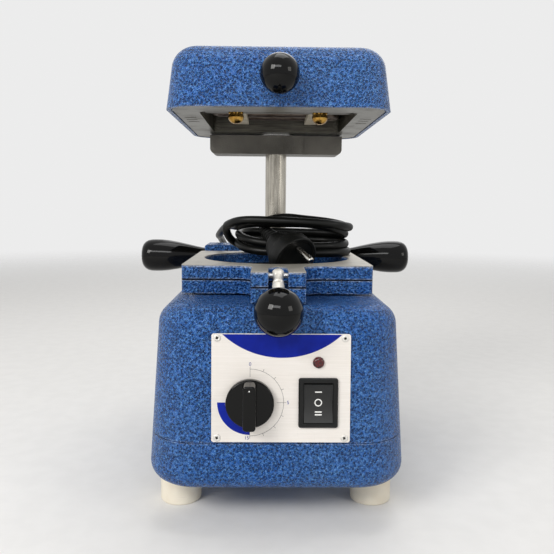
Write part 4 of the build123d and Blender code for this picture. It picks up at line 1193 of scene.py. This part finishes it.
def repeat_tree(name, material):
    """Copies of a shape on a grid: the shape, the grid's size and counts, and a turn are its inputs."""
    graph, start, end = new_group(
        name,
        [
            ("Shape", OBJECT, None),
            ("Columns", WHOLE, 2),
            ("Rows", WHOLE, 2),
            ("Width", FLOAT, 0.01),
            ("Height", FLOAT, 0.01),
            ("Turn Seed", WHOLE, 3),
            ("Turn", FLOAT, 0.0),
        ],
        [("Geometry", GEOMETRY)],
        "GeometryNodeTree",
    )
    grid = graph.put(
        "GeometryNodeMeshGrid",
        {
            "Size X": start["Width"],
            "Size Y": start["Height"],
            "Vertices X": start["Columns"],
            "Vertices Y": start["Rows"],
        },
    )
    shape = graph.put("GeometryNodeObjectInfo", {"Object": start["Shape"]}).outputs["Geometry"]
    spin = graph.put("FunctionNodeRandomValue", {"Seed": start["Turn Seed"]}, data_type="FLOAT")
    angle = graph.maths("MULTIPLY", spin.outputs[1], start["Turn"])
    turn = graph.put("ShaderNodeCombineXYZ", {"Z": angle}).outputs[0]
    end_with_copies(graph, end, grid.outputs["Mesh"], shape, turn, material)
    return graph.tree


def screw_set(name, profile, finish_name):
    """One turned shape at the panel's four corners."""
    shape = add_object(name + "_shape", lathe_mesh(name + "_shape", profile, 32, cross_recess))
    width, height = SCREW_SPAN
    sizes = {
        "Shape": shape,
        "Columns": 2,
        "Rows": 2,
        "Width": width * MM,
        "Height": height * MM,
        "Turn": SCREW_TURN,
    }
    mesh = grown_mesh(name, repeat_tree(name + "_set", FINISHES[finish_name]), sizes)
    bpy.data.objects.remove(shape)
    mesh.transform(panel_turn(0.0, 0.0, SCREW_LIFT))
    shade_smooth(mesh, 35)
    return place_mesh(name, mesh, "root")


def make_panel_screws():
    """Four pale cross-recess heads at the panel's corners, in place of the plain ones, each with a black
    disc in its recess as painted shade.
    """
    heads = screw_set("panel_screw_heads", SCREW_HEAD, "pale_screw")
    screw_set("panel_screw_recesses", RECESS_SHADE_DISC, "black_moulding")
    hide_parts("panel_screws")


# ---------------------------------------------------------------- handles, latch lever and heater nuts
HANDLE_AXIS = (100.914, 164.29)
HANDLE_END = 128.9
HANDLE_PROFILE = (
    (0.0, 0.0), (6.5, 0.0), (9.4, 0.5), (11.6, 1.7), (13.4, 3.6), (14.7, 6.2), (15.3, 9.6),
    (15.4, 14.0), (15.3, 19.0), (14.7, 25.5), (13.2, 34.5), (11.1, 44.0), (9.0, 53.0), (7.9, 58.5),
    (7.6, 61.6), (0.0, 61.6),
)
LEVER_PIVOT = (0.0, -93.086, 167.2)
SHANK_WAY = Vector((0, -0.888, -0.459)).normalized()
SHANK_PROFILE = (
    (0.0, -2.7), (3.9, -2.7), (4.3, -2.2), (4.3, -0.8), (3.9, 1.6), (3.4, 4.0), (3.0, 6.4),
    (3.0, 7.8), (3.6, 8.2), (3.8, 9.0), (3.8, 9.8), (3.4, 10.3), (2.9, 10.6), (2.9, 11.4),
    (3.6, 11.8), (4.0, 12.6), (4.0, 13.8), (3.6, 14.6), (3.6, 33.0), (0.0, 33.0),
)
HUB_PROFILE = ((0.0, -2.7), (3.9, -2.7), (4.4, -2.2), (4.4, 2.2), (3.9, 2.7), (0.0, 2.7))
CLAW_HALF = 2.6
CLAW_CORNERS = (
    (0.0, 0.0), (14.9, 56.4), (14.9, 49.0), (14.9, 41.4), (14.9, 34.0), (14.9, 26.4), (15.5, 25.4),
    (16.2, 26.4), (16.2, 34.0), (16.2, 41.4), (16.2, 54.0), (16.2, 66.4), (9.7, 86.4),
)
NUT_SPOTS = ((-32.0, -20.1), (32.0, -20.1))
NUT_TOP = 284.4
FLATS_TOP = 1.9
FLATS_RADIUS = 5.3
FLATS_SHARE = 0.9
NUT_PROFILE = (
    (0.0, 0.0), (5.6, 0.0), (6.2, 0.5), (6.2, 1.6), (5.6, 2.1), (5.7, 2.6), (6.0, 3.6), (6.0, 4.6),
    (5.7, 5.8), (5.1, 6.9), (4.2, 7.9), (3.0, 8.7), (1.6, 9.2), (0.0, 9.35),
)


def along(way):
    """A turn that lays the lathe's own axis along a direction."""
    return way.to_track_quat("Z", "Y").to_matrix().to_4x4()


def dressed_mesh(name, parts, finish_name, angle):
    """Several meshes as one, in one finish, smooth but for the edges sharper than the angle."""
    mesh = joined_mesh(name, parts)
    mesh.materials.append(FINISHES[finish_name])
    shade_smooth(mesh, angle)
    return mesh


def make_handles():
    """Two polished club handles, blunt at the outer end, that taper to the crosshead."""
    clubs = []
    for side in (-1, 1):
        club = lathe_mesh("club", HANDLE_PROFILE, 64)
        start = mm(side * HANDLE_END, *HANDLE_AXIS)
        club.transform(Matrix.Translation(start) @ along(Vector((-side, 0, 0))))
        clubs.append(club)
    mesh = dressed_mesh("club_handles", clubs, "black_gloss", 50)
    handles = place_mesh("club_handles", mesh, "carriage")
    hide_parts("handles")


def claw_mesh():
    """The claw that swings under the strike pin. Its corners are a radius and degrees back from down."""
    shape = bmesh.new()
    sides = []
    for across in (-CLAW_HALF, CLAW_HALF):
        row = []
        for radius, degrees in CLAW_CORNERS:
            angle = math.radians(degrees)
            spot = (across, radius * math.sin(angle), -radius * math.cos(angle))
            row.append(shape.verts.new(mm(*spot)))
        sides.append(row)
    bridge(shape, *sides)
    ends = [shape.faces.new(sides[0]), shape.faces.new(list(reversed(sides[1])))]
    shape.normal_update()
    bmesh.ops.triangulate(shape, faces=ends)
    return shell_mesh("claw", shape)


def make_lever():
    """The latch lever: a pale flared shank with two rings above the ball, its hub and its claw."""
    pivot = Matrix.Translation(mm(*LEVER_PIVOT))
    shank = lathe_mesh("shank", SHANK_PROFILE, 48)
    shank.transform(pivot @ along(SHANK_WAY))
    hub = lathe_mesh("hub", HUB_PROFILE, 48)
    hub.transform(pivot @ along(Vector((1, 0, 0))))
    claw = claw_mesh()
    claw.transform(pivot)
    mesh = dressed_mesh("latch_handle", (shank, hub, claw), "lever_white", 40)
    lever = place_mesh("latch_handle", mesh, "latch")
    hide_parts("latch_lever")


def hexagon_flats(angle, radius, height):
    """Six flats on the nut's base."""
    if height > FLATS_TOP or radius < FLATS_RADIUS:
        return 1.0
    turned = (angle + math.pi / 6) % (math.pi / 3) - math.pi / 6
    return FLATS_SHARE / math.cos(turned)


def make_heater_nuts():
    """Two brass acorn nuts below the heater's strap."""
    pair = []
    for across, back in NUT_SPOTS:
        nut = lathe_mesh("nut", NUT_PROFILE, 60, hexagon_flats)
        down = along(Vector((0, 0, -1)))
        nut.transform(Matrix.Translation(mm(across, back, NUT_TOP)) @ down)
        pair.append(nut)
    mesh = dressed_mesh("acorn_nuts", pair, "polished_brass", 35)
    nuts = place_mesh("acorn_nuts", mesh, "head")
    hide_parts("brass_nuts")


# ---------------------------------------------------------------- moulded plug
PLUG_PROFILE = (
    (0.0, -1.0), (15.6, -1.0), (16.2, -0.2), (18.1, 0.0), (18.8, -0.4), (19.0, -1.2), (19.0, -10.9),
    (18.5, -12.0), (17.3, -14.5), (15.6, -18.5), (14.0, -23.0), (12.4, -27.0), (10.4, -30.0),
    (7.6, -31.6),
)
RELIEF_START = 31.6
RELIEF_END = 52.0
RELIEF_RINGS = 6
RELIEF_RADIUS = 6.9
RELIEF_TAPER = 2.3
WAIST_START = -13.0
WAIST_RADIUS = 9.0
WAIST_DEPTH = 0.16
RIB_ROWS = 5
RIB_SPAN = 9.0
RIB_LEAN = 21.0
RIB_PLACE = (0.0, -13.4, -20.5)
RIB_ENDS = (-4.6, -4.2, 4.2, 4.6)
RIB_TALL = 0.75
RIB_SKIRT = 0.1
RIB_FOOT = -0.8


def plug_flats(angle, radius, height):
    """Waists the plug's shoulder on two sides, where it is gripped."""
    if height > WAIST_START or radius < WAIST_RADIUS:
        return 1.0
    return 1.0 - WAIST_DEPTH * abs(math.sin(angle)) ** 6


def relief_profile():
    """The tapered, ringed sleeve where the lead goes into the plug."""
    rows = []
    pitch = (RELIEF_END - RELIEF_START) / RELIEF_RINGS
    for ring in range(RELIEF_RINGS):
        depth = RELIEF_START + pitch * ring
        radius = RELIEF_RADIUS - RELIEF_TAPER * (depth - RELIEF_START) / (RELIEF_END - RELIEF_START)
        rows += [
            (radius - 0.3, -depth - 0.1),
            (radius, -depth - 0.5),
            (radius - 0.15, -depth - 0.62 * pitch),
            (radius - 0.6, -depth - 0.70 * pitch),
            (radius - 1.1, -depth - 0.74 * pitch),
            (radius - 1.1, -depth - 0.96 * pitch),
        ]
    return rows + [(3.6, -RELIEF_END), (0.0, -RELIEF_END)]


def make_plug():
    """The moulded mains plug: a round face with a rim, waisted shoulder, ringed sleeve and ribs."""
    body = lathe_mesh("mains_plug", PLUG_PROFILE + tuple(relief_profile()), 64, plug_flats)
    side = PLUG_AIM.cross(Vector((0, 0, 1))).normalized()
    over = PLUG_AIM.cross(side).normalized()
    place = Matrix.Translation(mm(*PLUG_FACE)) @ facing(side, over, PLUG_AIM)
    body.transform(place)
    body.materials.append(FINISHES["plug_black"])
    shade_smooth(body, 35)
    plug = place_mesh("mains_plug", body, "upper_frame")
    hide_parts("plug")
    return plug, make_grip_ribs(place)


def make_grip_ribs(place):
    """Finger ribs on both sides of the plug's shoulder."""
    rib = add_object("grip_rib_shape", rib_mesh())
    tree = repeat_tree("grip_rib_set", FINISHES["plug_black"])
    sizes = {"Shape": rib, "Columns": 1, "Rows": RIB_ROWS, "Width": 0.0, "Height": RIB_SPAN * MM}
    rows = []
    for half_turn in (0.0, math.pi):
        row = grown_mesh("grip_ribs", tree, sizes)
        row.transform(Matrix.Rotation(math.radians(RIB_LEAN), 4, "X"))
        row.transform(Matrix.Rotation(math.radians(90), 4, "X"))
        row.transform(Matrix.Translation(mm(*RIB_PLACE)))
        row.transform(Matrix.Rotation(half_turn, 4, "Z"))
        rows.append(row)
    joined = joined_mesh("grip_ribs", rows)
    joined.transform(place)
    joined.materials.append(FINISHES["plug_black"])
    bpy.data.objects.remove(rib)
    return place_mesh("plug_grip_ribs", joined, "upper_frame")


def rib_mesh():
    """One low rounded finger rib, lying across."""
    shape = bmesh.new()
    rows = []
    for across in RIB_ENDS:
        tall = RIB_SKIRT if across in (RIB_ENDS[0], RIB_ENDS[-1]) else RIB_TALL
        section = (
            (-0.55, RIB_FOOT), (-0.4, tall * 0.7), (0.0, tall), (0.4, tall * 0.7), (0.55, RIB_FOOT),
        )
        rows.append([shape.verts.new(mm(across, back, height)) for back, height in section])
    for row, following in zip(rows, rows[1:]):
        bridge(shape, row, following)
    shape.faces.new(rows[0])
    shape.faces.new(list(reversed(rows[-1])))
    return shell_mesh("grip_rib_shape", shape)


make_panel_print()
make_switch_marks()
make_panel_screws()
make_handles()
make_lever()
make_heater_nuts()
make_cords(*make_plug())
dress_nodes()
